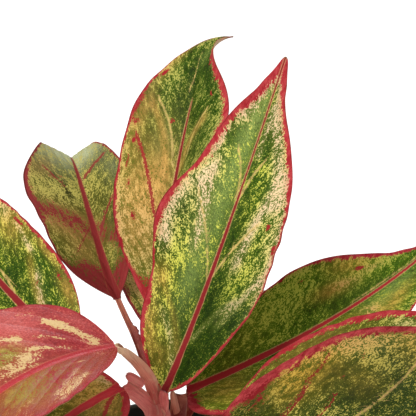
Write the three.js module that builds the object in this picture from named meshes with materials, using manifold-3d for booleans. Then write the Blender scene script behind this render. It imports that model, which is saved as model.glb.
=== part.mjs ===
// Potted chinese evergreen: four leafy shoots with red-edged leaves on long stalks, in a plain nursery pot.
// Millimetres, +Z up. The origin is the middle of the pot's underside, and -Y is the side the photo looks at.
// Headings are degrees in plan, seen from above: 0 is +X, 90 is +Y, 180 is -X and 270 is -Y.
import * as THREE from "three";
import { mergeVertices } from "three/addons/utils/BufferGeometryUtils.js";
import Module from "manifold-3d";

const wasm = await Module();
wasm.setup();

// ---------------------------------------------------------------- driving dimensions

const GAP = 0.3; // between two pieces that touch

const POT = {
  height: 120,
  rimRadius: 68,
  mouthRadius: 65, // of the wall's outside, if it ran up to the mouth without a rim
  footRadius: 47,
  wall: 2,
  rimHeight: 12,
  rimSlope: 2, // how far below the rim its underside starts to spread
  rimTaper: 0.6, // how much narrower the rim is at its lower edge
  edge: 1, // bevel of the rim and of the foot
  floor: 3,
  drainRadius: 5,
  drainRing: 30,
  drainCount: 6,
  drainSides: 16,
  sides: 48,
};

const SOIL = {
  level: 107,
  crown: 2.5, // how much higher the middle lies than the rim
  lumps: 0.9,
  lumpSpan: 3.4, // about a sixth of the way from lump to lump
  rings: 4,
  bedding: 14, // how deep a cane stands in its hole
};

const BLADE = {
  thickness: 1,
  keel: 1.5, // how far the midrib stands out below, at the stalk
  stalkHalf: 2.4, // half width where the blade meets its stalk
  tipHalf: 0.6,
  shoulder: 2.2, // how square the outline's shoulders are
  hookStart: 0.8, // where along the midrib a hooked tip starts to turn down
  stations: 16,
  columns: 3, // on each side of the midrib
};

const STALK = {
  sheathHalf: 4.3, // half width of the clasping sheath at the foot of a stalk
  sheathDepth: 3.2,
  sheathStart: 0.2, // where along the stalk the sheath starts to narrow
  tipHalf: 2.3,
  tipDepth: 2.1,
  hollow: 0.5, // height of the channelled upper side, as a share of the depth
  spread: 0.12, // how far a stalk leans outward where it leaves the cane, per unit of rise
  rings: 9,
  sides: 8,
};

const CANE = {
  sides: 10,
  footShare: 0.8, // how narrow the buried end is
};

// Each shoot is a cane that stands in the soil: its foot in plan, its lean over its height, and its radii.
const SHOOTS = {
  main: { foot: [-11, 3], lean: [-1, 3], rise: 54, radius: 5, topRadius: 3.6 },
  right: { foot: [-1.5, 12], lean: [0.5, 1], rise: 20, radius: 4.6, topRadius: 3.4 },
  front_right: { foot: [17, -20], lean: [2, -1], rise: 18, radius: 4.6, topRadius: 3.4 },
  left: { foot: [-37, 8], lean: [-4, -1], rise: 24, radius: 4.4, topRadius: 3.2 },
};

// How a leaf is held and shaped where nothing else is said. Lengths are mm and angles are degrees.
// heading, swing: where the midrib points in plan at the stalk, and how far it turns by the tip.
// pitch, droop: its rise above level at the stalk, and how far it has sunk by the tip; sag > 1 bends it late.
// hook, veer, turn: how much further a hooked tip bends down, swings in plan and rolls over.
// roll, twist: how far the right side hangs lower at the stalk, and how much more by the tip.
// fold: how far the left and the right half rise from the midrib; flatten opens them towards the tip.
// curl: how far each half bends back down by its margin; skew: how much wider the right half is.
// wave: height of the margin's waves, left and right; lobe: how far they bulge it; phase: where they start.
// widest, full, taper, belly: the outline, by where it is widest and how blunt its two ends are.
// climb: how far up its stalk runs before it bends over, as a share of the stalk's reach.
// arrival: how early the stalk lines up with the blade, as a share of its reach.
// sheath: where along the stalk its sheath ends.
const HABIT = {
  swing: 0,
  droop: 30,
  sag: 1,
  hook: 0,
  veer: 0,
  turn: 0,
  roll: 0,
  twist: 0,
  fold: [14, 14],
  flatten: 0,
  curl: 12,
  skew: 0,
  wave: [3, 3],
  lobe: [0.02, 0.02],
  waves: 2.5,
  phase: [0, 0.5],
  widest: 0.43,
  full: 0.62,
  taper: 1.3,
  belly: 2,
  climb: 0.42,
  arrival: 0.22,
  sheath: 0.62,
};

// Each leaf: its shoot, how high and on which side its stalk leaves the cane, and where its blade starts.
// The youngest leaf of a shoot has no side: its stalk goes on from the top of the cane.
const LEAVES = {
  front_tall: {
    shoot: "main", node: 10, side: 308, base: [-8, -8, 166.5],
    length: 192, width: 76, heading: 42, swing: 3, pitch: 62, droop: 0, roll: 13, twist: 3,
    fold: [18, 17], flatten: 0.3, curl: 6, skew: 0.04, wave: [4, -5], lobe: [0.03, -0.03],
    waves: 2.75, phase: [-0.05, 0.35], widest: 0.5, full: 0.65, taper: 1.33, belly: 1.63,
  },
  back_tall: {
    shoot: "main", base: [-12.5, 32, 181.5],
    length: 183, width: 76, heading: 81, swing: -20, pitch: 66.5, droop: 16, hook: 45, veer: -70, turn: 60,
    roll: -19, twist: -7, fold: [19, 18], curl: 4, skew: -0.03, wave: [4.5, -7.5], lobe: [-0.06, 0.07],
    waves: 2.35, phase: [0.48, 0.57], widest: 0.57, full: 1.2, taper: 1.38, belly: 2.3,
  },
  back_left: {
    shoot: "main", node: 46, side: 120, base: [-35.8, 52, 193.2],
    length: 161, width: 69, heading: 115, swing: -17, pitch: 45, droop: 108, sag: 2.05, roll: -16, twist: 28,
    fold: [27, 39], curl: 2, skew: -0.16, wave: [-1.5, 0], lobe: [0.07, -0.03],
    waves: 2.65, phase: [0.02, 0.74], widest: 0.4, full: 0.87, taper: 1.37, belly: 1.7,
    climb: 0.25, arrival: 0.2,
  },
  inner_back: {
    shoot: "main", node: 8, side: 95, base: [-7, 42, 170],
    length: 145, width: 56, heading: 98, swing: 4, pitch: 42, droop: 60, roll: 8, wave: [2, -3],
  },
  front_left: {
    shoot: "main", node: 46, side: 251, base: [-32, -35.5, 208], red: true,
    length: 147, width: 78, heading: 212, swing: 4, pitch: 5, droop: 72, sag: 1.3, roll: -16, twist: -8,
    fold: [21, 21], curl: 3, skew: 0.07, wave: [1, -2.6], lobe: [0, 0],
    phase: [0, 0.55], full: 0.68, belly: 2.1, climb: 0.3, arrival: 0.1, sheath: 0.85,
  },
  low_front_left: {
    shoot: "main", node: 38, side: 225, base: [-30, -28, 180],
    length: 145, width: 69, heading: 224, swing: 9, pitch: 2, droop: 56, sag: 1.2, roll: -16, twist: -2,
    fold: [16, 22], curl: 6, wave: [0, -1], lobe: [0, 0],
    phase: [0, 0.57], widest: 0.41, full: 0.58, belly: 2.1, climb: 0.2, arrival: 0.04, sheath: 0.85,
  },
  left: {
    shoot: "left", base: [-58.5, -12, 193],
    length: 166, width: 70, heading: 135, swing: -25, pitch: 21, droop: 24, roll: -31, twist: -23,
    fold: [12, 21], curl: 10, skew: 0.03, wave: [0, 1.5], lobe: [0, -0.02],
    waves: 1.7, widest: 0.48, full: 0.48, taper: 1.2, belly: 2.35,
  },
  low_left: {
    shoot: "left", node: 8, side: 190, base: [-62, 6, 146],
    length: 140, width: 62, heading: 178, swing: 8, pitch: 24, droop: 58, roll: -6, twist: 8, wave: [3, -3],
  },
  right_back: {
    shoot: "right", base: [4, 14.6, 153.6],
    length: 195, width: 78, heading: 352, swing: 62, pitch: 28, droop: 12, sag: 1.3, roll: 17, twist: 6,
    fold: [24, 9], curl: 4, skew: 0.03, wave: [-5, 2], lobe: [0, 0],
    waves: 2, phase: [-0.39, 0.41], widest: 0.4, full: 0.34, taper: 1.55, belly: 1.36,
  },
  back: {
    shoot: "right", node: 9, side: 100, base: [19, 42, 148],
    length: 140, width: 60, heading: 80, swing: 8, pitch: 20, droop: 52, roll: 4, twist: -8, wave: [3, 4],
  },
  back_right: {
    shoot: "right", node: 4, side: 30, base: [38, 28, 140],
    length: 148, width: 64, heading: 42, swing: 6, pitch: 16, droop: 46, roll: 6, twist: 4, wave: [-3, 3],
  },
  right: {
    shoot: "front_right", base: [26.5, -20, 161],
    length: 171, width: 66, heading: 339, swing: 10, pitch: 34, droop: 25, roll: 30, twist: 12,
    fold: [5, 12], curl: 17, wave: [2, 0], lobe: [-0.03, 0],
    waves: 2.6, phase: [-0.2, 0.5], widest: 0.42, full: 0.76, taper: 1.26, belly: 2.2,
  },
  right_front: {
    shoot: "front_right", node: 8, side: 270, base: [17.5, -55, 158],
    length: 208, width: 87, heading: 337, swing: 11, pitch: 28, droop: 30, roll: 35, twist: 12,
    fold: [17, 12], curl: 10, skew: -0.08, wave: [3, 0], lobe: [0, 0],
    waves: 2.3, phase: [0.29, 0.5], widest: 0.5, full: 0.58, belly: 2.15,
  },
  front: {
    shoot: "front_right", node: 4, side: 200, base: [-2, -58, 140],
    length: 138, width: 62, heading: 262, swing: -12, pitch: 22, droop: 66, roll: 8, twist: -6, wave: [3, -3],
  },
};

// ---------------------------------------------------------------- small helpers

const radians = THREE.MathUtils.degToRad;

const vector = (x, y, z) => new THREE.Vector3(x, y, z);

const mix = (from, to, share) => from + (to - from) * share;

// A direction from a heading in plan and a pitch above level, both in radians.
function direction(heading, pitch) {
  const flat = Math.cos(pitch);
  return vector(Math.cos(heading) * flat, Math.sin(heading) * flat, Math.sin(pitch));
}

function indexed(points, triangles) {
  const geometry = new THREE.BufferGeometry();
  const position = new THREE.Float32BufferAttribute(points.flatMap((p) => p.toArray()), 3);
  geometry.setAttribute("position", position);
  geometry.setIndex(triangles.flat());
  geometry.computeVertexNormals();
  return geometry;
}

function solid(geometry) {
  const bare = new THREE.BufferGeometry();
  bare.setAttribute("position", geometry.getAttribute("position"));
  bare.setIndex(geometry.index);
  const merged = mergeVertices(bare, 1e-3);
  return new wasm.Manifold(new wasm.Mesh({
    numProp: 3,
    vertProperties: merged.attributes.position.array,
    triVerts: new Uint32Array(merged.index.array),
  }));
}

function geometryOf(body) {
  const mesh = body.getMesh();
  const geometry = new THREE.BufferGeometry();
  geometry.setAttribute("position", new THREE.BufferAttribute(new Float32Array(mesh.vertProperties), 3));
  geometry.setIndex(new THREE.BufferAttribute(new Uint32Array(mesh.triVerts), 1));
  geometry.computeVertexNormals();
  return geometry;
}

// An upright solid of revolution from a profile of [radius, height] points that starts and ends on the axis.
function turned(profile, sides) {
  const lathe = new THREE.LatheGeometry(profile.map(([r, z]) => new THREE.Vector2(r, z)), sides);
  return lathe.rotateX(Math.PI / 2);
}

// A closed tube through rings of points, all with as many points, anticlockwise seen from the tube's end.
function lofted(rings) {
  const sides = rings[0].length;
  const points = rings.flat();
  const triangles = [];
  for (let i = 0; i + 1 < rings.length; i += 1) {
    for (let k = 0; k < sides; k += 1) {
      const a = i * sides + k;
      const b = i * sides + (k + 1) % sides;
      triangles.push([a, b, b + sides], [a, b + sides, a + sides]);
    }
  }
  const last = (rings.length - 1) * sides;
  for (let k = 1; k + 1 < sides; k += 1) {
    triangles.push([0, k + 1, k], [last, last + k, last + k + 1]);
  }
  return indexed(points, triangles);
}

// ---------------------------------------------------------------- leaf blades

// Half width of a blade at t along its midrib, as a share of its widest half.
function outline(t, { widest, full, taper, belly }) {
  if (t < widest) return (1 - (1 - t / widest) ** BLADE.shoulder) ** full;
  return (1 - ((t - widest) / (1 - widest)) ** belly) ** taper;
}

// The midrib's direction, and the blade's right side and upper side across it, at t along the midrib.
function bladeFrame(leaf, t) {
  const hooked = Math.max(0, (t - BLADE.hookStart) / (1 - BLADE.hookStart)) ** 2;
  const heading = radians(leaf.heading + leaf.swing * t + leaf.veer * hooked);
  const pitch = radians(leaf.pitch - leaf.droop * t ** leaf.sag - leaf.hook * hooked);
  const roll = radians(leaf.roll + leaf.twist * t + leaf.turn * hooked);
  const along = direction(heading, pitch);
  const right = vector(Math.sin(heading), -Math.cos(heading), 0);
  const up = right.clone().cross(along);
  return {
    along,
    right: right.clone().multiplyScalar(Math.cos(roll)).addScaledVector(up, -Math.sin(roll)),
    up: up.clone().multiplyScalar(Math.cos(roll)).addScaledVector(right, Math.sin(roll)),
  };
}

// The midrib as points at even steps of t.
function midrib(leaf, steps) {
  const finer = 8;
  const step = leaf.length / (steps * finer);
  const at = vector(...leaf.base);
  const points = [at.clone()];
  for (let i = 0; i < steps * finer; i += 1) {
    at.addScaledVector(bladeFrame(leaf, (i + 0.5) / (steps * finer)).along, step);
    if ((i + 1) % finer === 0) points.push(at.clone());
  }
  return points;
}

// A point of the blade's upper face: u is -1 at the left margin, 0 on the midrib and 1 at the right margin.
function bladePoint(leaf, t, u, rib, frame) {
  const side = u < 0 ? 0 : 1;
  const reach = Math.abs(u);
  const wave = Math.sin(2 * Math.PI * (leaf.waves * t + leaf.phase[side])) * Math.sqrt(Math.sin(Math.PI * t));
  const fullHalf = leaf.width / 2 * outline(t, leaf);
  const half = Math.max(fullHalf, mix(BLADE.stalkHalf, BLADE.tipHalf, t))
    * (1 + leaf.skew * Math.sign(u)) * (1 + leaf.lobe[side] * wave);
  const fold = radians(leaf.fold[side]) * (1 - leaf.flatten * t);
  const curl = radians(leaf.curl);
  const across = (Math.sin(fold) - Math.sin(fold - curl * reach)) / curl;
  const rise = (Math.cos(fold - curl * reach) - Math.cos(fold)) / curl;
  return rib.clone()
    .addScaledVector(frame.right, Math.sign(u) * across * half)
    .addScaledVector(frame.up, rise * half + leaf.wave[side] * reach ** 2 * wave);
}

// The upper face as a grid of points: a row for each station along the midrib, from left to right margin.
function bladeGrid(leaf, stations, columns) {
  return midrib(leaf, stations).map((rib, i) => {
    const t = i / stations;
    const frame = bladeFrame(leaf, t);
    const across = (_, j) => bladePoint(leaf, t, j / columns - 1, rib, frame);
    return Array.from({ length: 2 * columns + 1 }, across);
  });
}

// The upper face's own direction at one point of the grid, from its neighbours.
function facing(grid, i, j) {
  const lastRow = grid.length - 1;
  const lastColumn = grid[0].length - 1;
  const across = grid[i][Math.min(j + 1, lastColumn)].clone().sub(grid[i][Math.max(j - 1, 0)]);
  const along = grid[Math.min(i + 1, lastRow)][j].clone().sub(grid[Math.max(i - 1, 0)][j]);
  return across.cross(along).normalize();
}

// A blade is its upper face and the same face pushed through by its thickness, more along the midrib's keel.
function bladeGeometry(leaf) {
  const { stations, columns } = BLADE;
  const width = 2 * columns + 1;
  const top = bladeGrid(leaf, stations, columns);
  const under = top.map((row, i) => row.map((point, j) => {
    const keel = j === columns ? BLADE.keel * (1 - i / stations) : 0;
    return point.clone().addScaledVector(facing(top, i, j), -BLADE.thickness - keel);
  }));
  const points = [...top.flat(), ...under.flat()];
  const below = top.length * width;
  const triangles = [];
  const quad = (a, b, c, d) => triangles.push([a, b, c], [a, c, d]);
  for (let i = 0; i < stations; i += 1) {
    for (let j = 0; j < 2 * columns; j += 1) {
      const a = i * width + j;
      const [b, c, d] = [a + 1, a + 1 + width, a + width];
      if (j < columns) {
        quad(a, b, c, d);
        quad(below + c, below + b, below + a, below + d);
      } else {
        quad(b, c, d, a);
        quad(below + d, below + c, below + b, below + a);
      }
    }
  }
  const round = [];
  for (let j = 0; j < width - 1; j += 1) round.push(j);
  for (let i = 0; i < stations; i += 1) round.push(i * width + width - 1);
  for (let j = width - 1; j > 0; j -= 1) round.push(stations * width + j);
  for (let i = stations; i > 0; i -= 1) round.push(i * width);
  round.forEach((a, k) => {
    const b = round[(k + 1) % round.length];
    quad(a, below + a, below + b, b);
  });
  return indexed(points, triangles);
}

// ---------------------------------------------------------------- canes and stalks

const shootTop = (shoot) => SOIL.level + SOIL.crown + shoot.rise;

// The cane's middle line at a height above the pot's underside.
function caneAt(shoot, z) {
  const share = Math.max(0, (z - SOIL.level) / (shootTop(shoot) - SOIL.level));
  return vector(shoot.foot[0] + shoot.lean[0] * share, shoot.foot[1] + shoot.lean[1] * share, z);
}

function caneRadius(shoot, z) {
  const share = THREE.MathUtils.clamp((z - SOIL.level) / (shootTop(shoot) - SOIL.level), 0, 1);
  return mix(shoot.radius, shoot.topRadius, share);
}

function caneGeometry(shoot) {
  const top = shootTop(shoot);
  const ring = (z, share) => Array.from({ length: CANE.sides }, (_, k) => {
    const angle = 2 * Math.PI * k / CANE.sides;
    return caneAt(shoot, z).addScaledVector(direction(angle, 0), caneRadius(shoot, z) * share);
  });
  return lofted([
    ring(SOIL.level - SOIL.bedding, CANE.footShare),
    ring(SOIL.level, 1),
    ring(mix(SOIL.level, top, 0.5), 1),
    ring(top, 1),
  ]);
}

// A stalk leaves its cane close against it, runs up it and bends over to the blade.
function stalkGeometry(leaf) {
  const shoot = SHOOTS[leaf.shoot];
  const blade = bladeFrame(leaf, 0);
  const crown = leaf.side === undefined;
  const z = crown ? shootTop(shoot) + GAP : SOIL.level + SOIL.crown + leaf.node;
  const outward = direction(radians(crown ? leaf.heading : leaf.side), 0);
  const clear = crown ? 0 : caneRadius(shoot, z) + GAP + STALK.sheathDepth * STALK.hollow;
  const start = caneAt(shoot, z).addScaledVector(outward, clear);
  const end = vector(...leaf.base).addScaledVector(blade.along, -GAP);
  const reach = start.distanceTo(end);
  const leaving = vector(0, 0, 1).addScaledVector(outward, crown ? 0 : STALK.spread).normalize();
  const bend = start.clone().addScaledVector(leaving, reach * leaf.climb);
  const arriving = end.clone().sub(bend).normalize().add(blade.along).normalize();
  const level = end.clone().addScaledVector(arriving, -reach * leaf.arrival);
  const curve = new THREE.CubicBezierCurve3(start, bend, level, end);
  const rings = [];
  for (let i = 0; i < STALK.rings; i += 1) {
    const share = i / (STALK.rings - 1);
    const along = share < 1 ? curve.getTangent(share) : blade.along.clone();
    const up = outward.clone().negate().lerp(blade.up, share);
    const across = along.clone().cross(up).normalize();
    up.copy(across).cross(along);
    const slim = THREE.MathUtils.smoothstep(share, STALK.sheathStart, leaf.sheath);
    const half = mix(STALK.sheathHalf, STALK.tipHalf, slim);
    const depth = mix(STALK.sheathDepth, STALK.tipDepth, slim);
    rings.push(Array.from({ length: STALK.sides }, (_, k) => {
      const angle = 2 * Math.PI * (k + 0.5) / STALK.sides;
      const lift = Math.sin(angle) * depth * (Math.sin(angle) > 0 ? STALK.hollow : 1);
      return curve.getPoint(share).addScaledVector(across, -Math.cos(angle) * half).addScaledVector(up, lift);
    }));
  }
  return lofted(rings);
}

// ---------------------------------------------------------------- pot and soil

// The pot's wall at a height above its underside, outside and inside.
const outerRadius = (z) => mix(POT.footRadius, POT.mouthRadius, z / POT.height);

const innerRadius = (z) => outerRadius(z) - POT.wall;

function potGeometry() {
  const { height, rimRadius, rimHeight, rimSlope, rimTaper, edge, footRadius, floor } = POT;
  let pot = solid(turned([
    [0, 0],
    [footRadius - edge, 0],
    [outerRadius(edge), edge],
    [outerRadius(height - rimHeight - rimSlope), height - rimHeight - rimSlope],
    [rimRadius - rimTaper, height - rimHeight],
    [rimRadius, height - edge],
    [rimRadius - edge, height],
    [innerRadius(height) + edge / 2, height],
    [innerRadius(height), height - edge],
    [innerRadius(floor), floor],
    [0, floor],
  ], POT.sides));
  const drain = new THREE.CylinderGeometry(POT.drainRadius, POT.drainRadius, 4 * floor, POT.drainSides);
  const hole = solid(drain.rotateX(Math.PI / 2));
  for (let k = 0; k < POT.drainCount; k += 1) {
    const place = direction(2 * Math.PI * k / POT.drainCount, 0).multiplyScalar(POT.drainRing);
    pot = pot.subtract(hole.translate(place.toArray()));
  }
  return geometryOf(pot);
}

// Potting soil: it fills the pot to a slightly lumpy crown and has a plain hole for each cane.
function soilGeometry() {
  const bottom = POT.floor + GAP;
  const edge = innerRadius(SOIL.level) - GAP;
  const profile = [[0, bottom], [innerRadius(bottom) - GAP, bottom], [edge, SOIL.level]];
  for (let k = SOIL.rings - 1; k >= 0; k -= 1) {
    const share = k / SOIL.rings;
    profile.push([edge * share, SOIL.level + SOIL.crown * (1 - share ** 2)]);
  }
  const heap = turned(profile, POT.sides / 2).deleteAttribute("normal").deleteAttribute("uv");
  const position = heap.getAttribute("position");
  for (let i = 0; i < position.count; i += 1) {
    const [x, y, z] = [position.getX(i), position.getY(i), position.getZ(i)];
    if (z > SOIL.level + GAP) {
      const lump = Math.sin(x / SOIL.lumpSpan + 1) * Math.cos((y + x / 2) / SOIL.lumpSpan);
      position.setZ(i, z + SOIL.lumps * lump);
    }
  }
  let soil = solid(heap);
  for (const { foot: [x, y], radius } of Object.values(SHOOTS)) {
    const deep = SOIL.bedding + GAP;
    const high = deep + 2 * SOIL.crown + 2 * SOIL.lumps;
    const bore = new THREE.CylinderGeometry(radius + GAP, radius + GAP, high, 2 * CANE.sides);
    bore.rotateX(Math.PI / 2).translate(x, y, SOIL.level - deep + high / 2);
    soil = soil.subtract(solid(bore));
  }
  return geometryOf(soil);
}

// ---------------------------------------------------------------- the plant in its pot

const plastic = new THREE.MeshStandardMaterial({ color: 0x14160f, roughness: 0.55, metalness: 0 });
const earth = new THREE.MeshStandardMaterial({ color: 0x3a2a1e, roughness: 0.95, metalness: 0 });
const cane = new THREE.MeshStandardMaterial({ color: 0x8a7a48, roughness: 0.6, metalness: 0 });
const pinkStalk = new THREE.MeshStandardMaterial({ color: 0xc9605c, roughness: 0.45, metalness: 0 });
const greenBlade = new THREE.MeshStandardMaterial({ color: 0x5c7a34, roughness: 0.4, metalness: 0 });
const redBlade = new THREE.MeshStandardMaterial({ color: 0xb8424c, roughness: 0.35, metalness: 0 });

const plant = new THREE.Group();

function place(name, geometry, material) {
  const mesh = new THREE.Mesh(geometry, material);
  mesh.name = name;
  plant.add(mesh);
}

place("pot", potGeometry(), plastic);
place("soil", soilGeometry(), earth);
for (const [name, shoot] of Object.entries(SHOOTS)) {
  place("cane_" + name, caneGeometry(shoot), cane);
}
for (const [name, own] of Object.entries(LEAVES)) {
  const leaf = { ...HABIT, ...own };
  place("stalk_" + name, stalkGeometry(leaf), pinkStalk);
  place("blade_" + name, bladeGeometry(leaf), leaf.red ? redBlade : greenBlade);
}

export default plant;
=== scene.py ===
"""Looks of the potted chinese evergreen: variegated leaf blades, stalks, canes, soil and nursery pot."""

import logging
import math
import random
from dataclasses import dataclass
from enum import Enum

import bpy
import numpy as np
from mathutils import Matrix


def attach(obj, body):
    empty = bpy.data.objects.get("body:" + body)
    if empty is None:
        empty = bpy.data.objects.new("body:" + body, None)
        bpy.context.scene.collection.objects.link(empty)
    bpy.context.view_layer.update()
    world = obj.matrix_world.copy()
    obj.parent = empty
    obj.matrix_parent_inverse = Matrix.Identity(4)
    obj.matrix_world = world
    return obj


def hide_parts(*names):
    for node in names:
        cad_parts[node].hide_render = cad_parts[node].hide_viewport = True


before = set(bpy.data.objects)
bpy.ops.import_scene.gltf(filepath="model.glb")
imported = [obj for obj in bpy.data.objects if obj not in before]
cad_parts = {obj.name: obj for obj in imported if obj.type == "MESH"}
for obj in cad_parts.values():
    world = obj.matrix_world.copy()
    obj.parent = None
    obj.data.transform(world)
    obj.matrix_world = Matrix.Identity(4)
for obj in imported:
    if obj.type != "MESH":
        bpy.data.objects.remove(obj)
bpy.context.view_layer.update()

log = logging.getLogger("evergreen")

MM = 0.001
SOIL_LEVEL = 107.0
SOIL_CROWN = 2.5

Vec3 = tuple[float, float, float]
Pair = tuple[float, float]
Colour = tuple[float, float, float]
Shade = tuple[int, int, int]


def tint(shade: Shade) -> Colour:
    """Return a shade given on the 0 to 255 display scale as linear light."""
    return tuple(((c / 255 + 0.055) / 1.055) ** 2.4 if c > 10 else c / 255 / 12.92 for c in shade)


def smooth(value: np.ndarray, low: float, high: float) -> np.ndarray:
    """Return a smooth 0 to 1 step as value goes from low to high."""
    x = np.clip((value - low) / (high - low), 0, 1)
    return x * x * (3 - 2 * x)


def pack(*parts: np.ndarray | float) -> np.ndarray:
    """Return arrays and numbers as the entries of one more, last axis."""
    return np.stack(np.broadcast_arrays(*parts), -1)


def border(grid: np.ndarray) -> np.ndarray:
    """Return the entries round a grid's edge, in order."""
    return np.concatenate([grid[0, :-1], grid[:-1, -1], grid[-1, :0:-1], grid[:0:-1, 0]])


def unit(vectors: np.ndarray) -> np.ndarray:
    """Return vectors scaled to length 1."""
    return vectors / np.linalg.norm(vectors, axis=-1, keepdims=True)


def round_ring(sides: int, shift: float = 0.0) -> np.ndarray:
    """Return evenly spaced angles round a circle, shifted by a share of their spacing."""
    return 2 * np.pi * (np.arange(sides) + shift) / sides


def pattern_shift(name: str, step: float) -> float:
    """Return how far a leaf's pattern is shifted through the noise, so that no two leaves share one."""
    return step * (sorted(FORMS).index(name) + 1)


# ---------------- choices and forms


class Shoot(Enum):
    """The four leafy shoots: foot in plan, lean, rise, radius and top radius, in mm."""

    MAIN = ("main", (-11, 3), (-1, 3), 54, 5.0, 3.6)
    RIGHT = ("right", (-1.5, 12), (0.5, 1), 20, 4.6, 3.4)
    FRONT_RIGHT = ("front_right", (17, -20), (2, -1), 18, 4.6, 3.4)
    LEFT = ("left", (-37, 8), (-4, -1), 24, 4.4, 3.2)

    def __init__(
        self, word: str, foot: Pair, lean: Pair, rise: float, radius: float, top_radius: float
    ) -> None:
        """Keep the shoot's sizes.

        Args:
            word: The shoot's name in its nodes.
            foot: Where its cane leaves the soil.
            lean: How far the cane's top stands beside its foot.
            rise: The cane's height over the soil.
            radius: The cane's radius at the soil.
            top_radius: Its radius at the top.
        """
        self.word = word
        self.foot = foot
        self.lean = lean
        self.rise = rise
        self.radius = radius
        self.top_radius = top_radius

    @property
    def top(self) -> float:
        """Return the height of the cane's top."""
        return SOIL_LEVEL + SOIL_CROWN + self.rise

    def share(self, z: float) -> float:
        """Return how far up the cane a height lies, from 0 at the soil."""
        return max(0.0, (z - SOIL_LEVEL) / (self.top - SOIL_LEVEL))

    def middle(self, z: float) -> np.ndarray:
        """Return the cane's middle at a height."""
        share = self.share(z)
        return np.array([self.foot[0] + self.lean[0] * share, self.foot[1] + self.lean[1] * share, z])

    def radius_at(self, z: float) -> float:
        """Return the cane's radius at a height."""
        return self.radius + (self.top_radius - self.radius) * min(1.0, self.share(z))


class Tone(Enum):
    """What a brush mark on a leaf adds. The value is its place in the blade's paint attributes."""

    CREAM = 0
    RED = 1
    SPECK = 2
    # Darker ground; on some leaves these marks are painted shade.
    DEEP = 3
    YELLOW = 4
    # Paler ground; on some leaves these marks are painted sheen and painted highlights.
    PALE = 5


class Ink(Enum):
    """The two colours of a fine line that is drawn along a vein. The value is how red it is."""

    CREAM = 0.0
    RED = 1.0


@dataclass(frozen=True)
class Patch:
    """A soft oval brush mark at (along, across) with its two radii, all as shares of the leaf."""

    tone: Tone
    along: float
    across: float
    radii: Pair
    strength: float = 0.5


@dataclass(frozen=True)
class Stroke:
    """A brush mark from one (along, across) to another: width and bow in mm, strength from 0 to 1.

    With a Tone it thickens that tone's grains, and with an Ink it is a line with clear edges.
    """

    tone: Tone | Ink
    start: Pair
    end: Pair
    width: float
    strength: float = 0.5
    bow: float = 0.0


Mark = Patch | Stroke


def patches(tone: Tone, *rows: tuple[float, ...]) -> list[Patch]:
    """Return patches of one tone.

    Args:
        tone: Their tone.
        rows: The place along and across, the radius along and across, and the strength of each.

    Returns:
        The patches.
    """
    return [Patch(tone, t, u, (along, across), strength) for t, u, along, across, strength in rows]


def strokes(tone: Tone | Ink, *rows: tuple[float, ...]) -> list[Stroke]:
    """Return strokes of one tone or ink.

    Args:
        tone: Their tone or ink.
        rows: The start along and across, the end along and across, width, strength and bow of each.

    Returns:
        The strokes.
    """
    return [Stroke(tone, (t0, u0), (t1, u1), *rest) for t0, u0, t1, u1, *rest in rows]


@dataclass(frozen=True)
class Form:
    """How a leaf is held and shaped, with the same values as its solid: lengths in mm, angles in degrees."""

    shoot: Shoot
    base: Vec3
    length: float
    width: float
    heading: float
    pitch: float
    node: float = 0.0
    side: float | None = None
    swing: float = 0.0
    droop: float = 30.0
    sag: float = 1.0
    hook: float = 0.0
    veer: float = 0.0
    turn: float = 0.0
    roll: float = 0.0
    twist: float = 0.0
    fold: Pair = (14.0, 14.0)
    flatten: float = 0.0
    curl: float = 12.0
    skew: float = 0.0
    wave: Pair = (3.0, 3.0)
    lobe: Pair = (0.02, 0.02)
    waves: float = 2.5
    phase: Pair = (0.0, 0.5)
    widest: float = 0.43
    full: float = 0.62
    taper: float = 1.3
    belly: float = 2.0
    climb: float = 0.42
    arrival: float = 0.22
    sweep: Pair = (0.42, 0.42)


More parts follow.
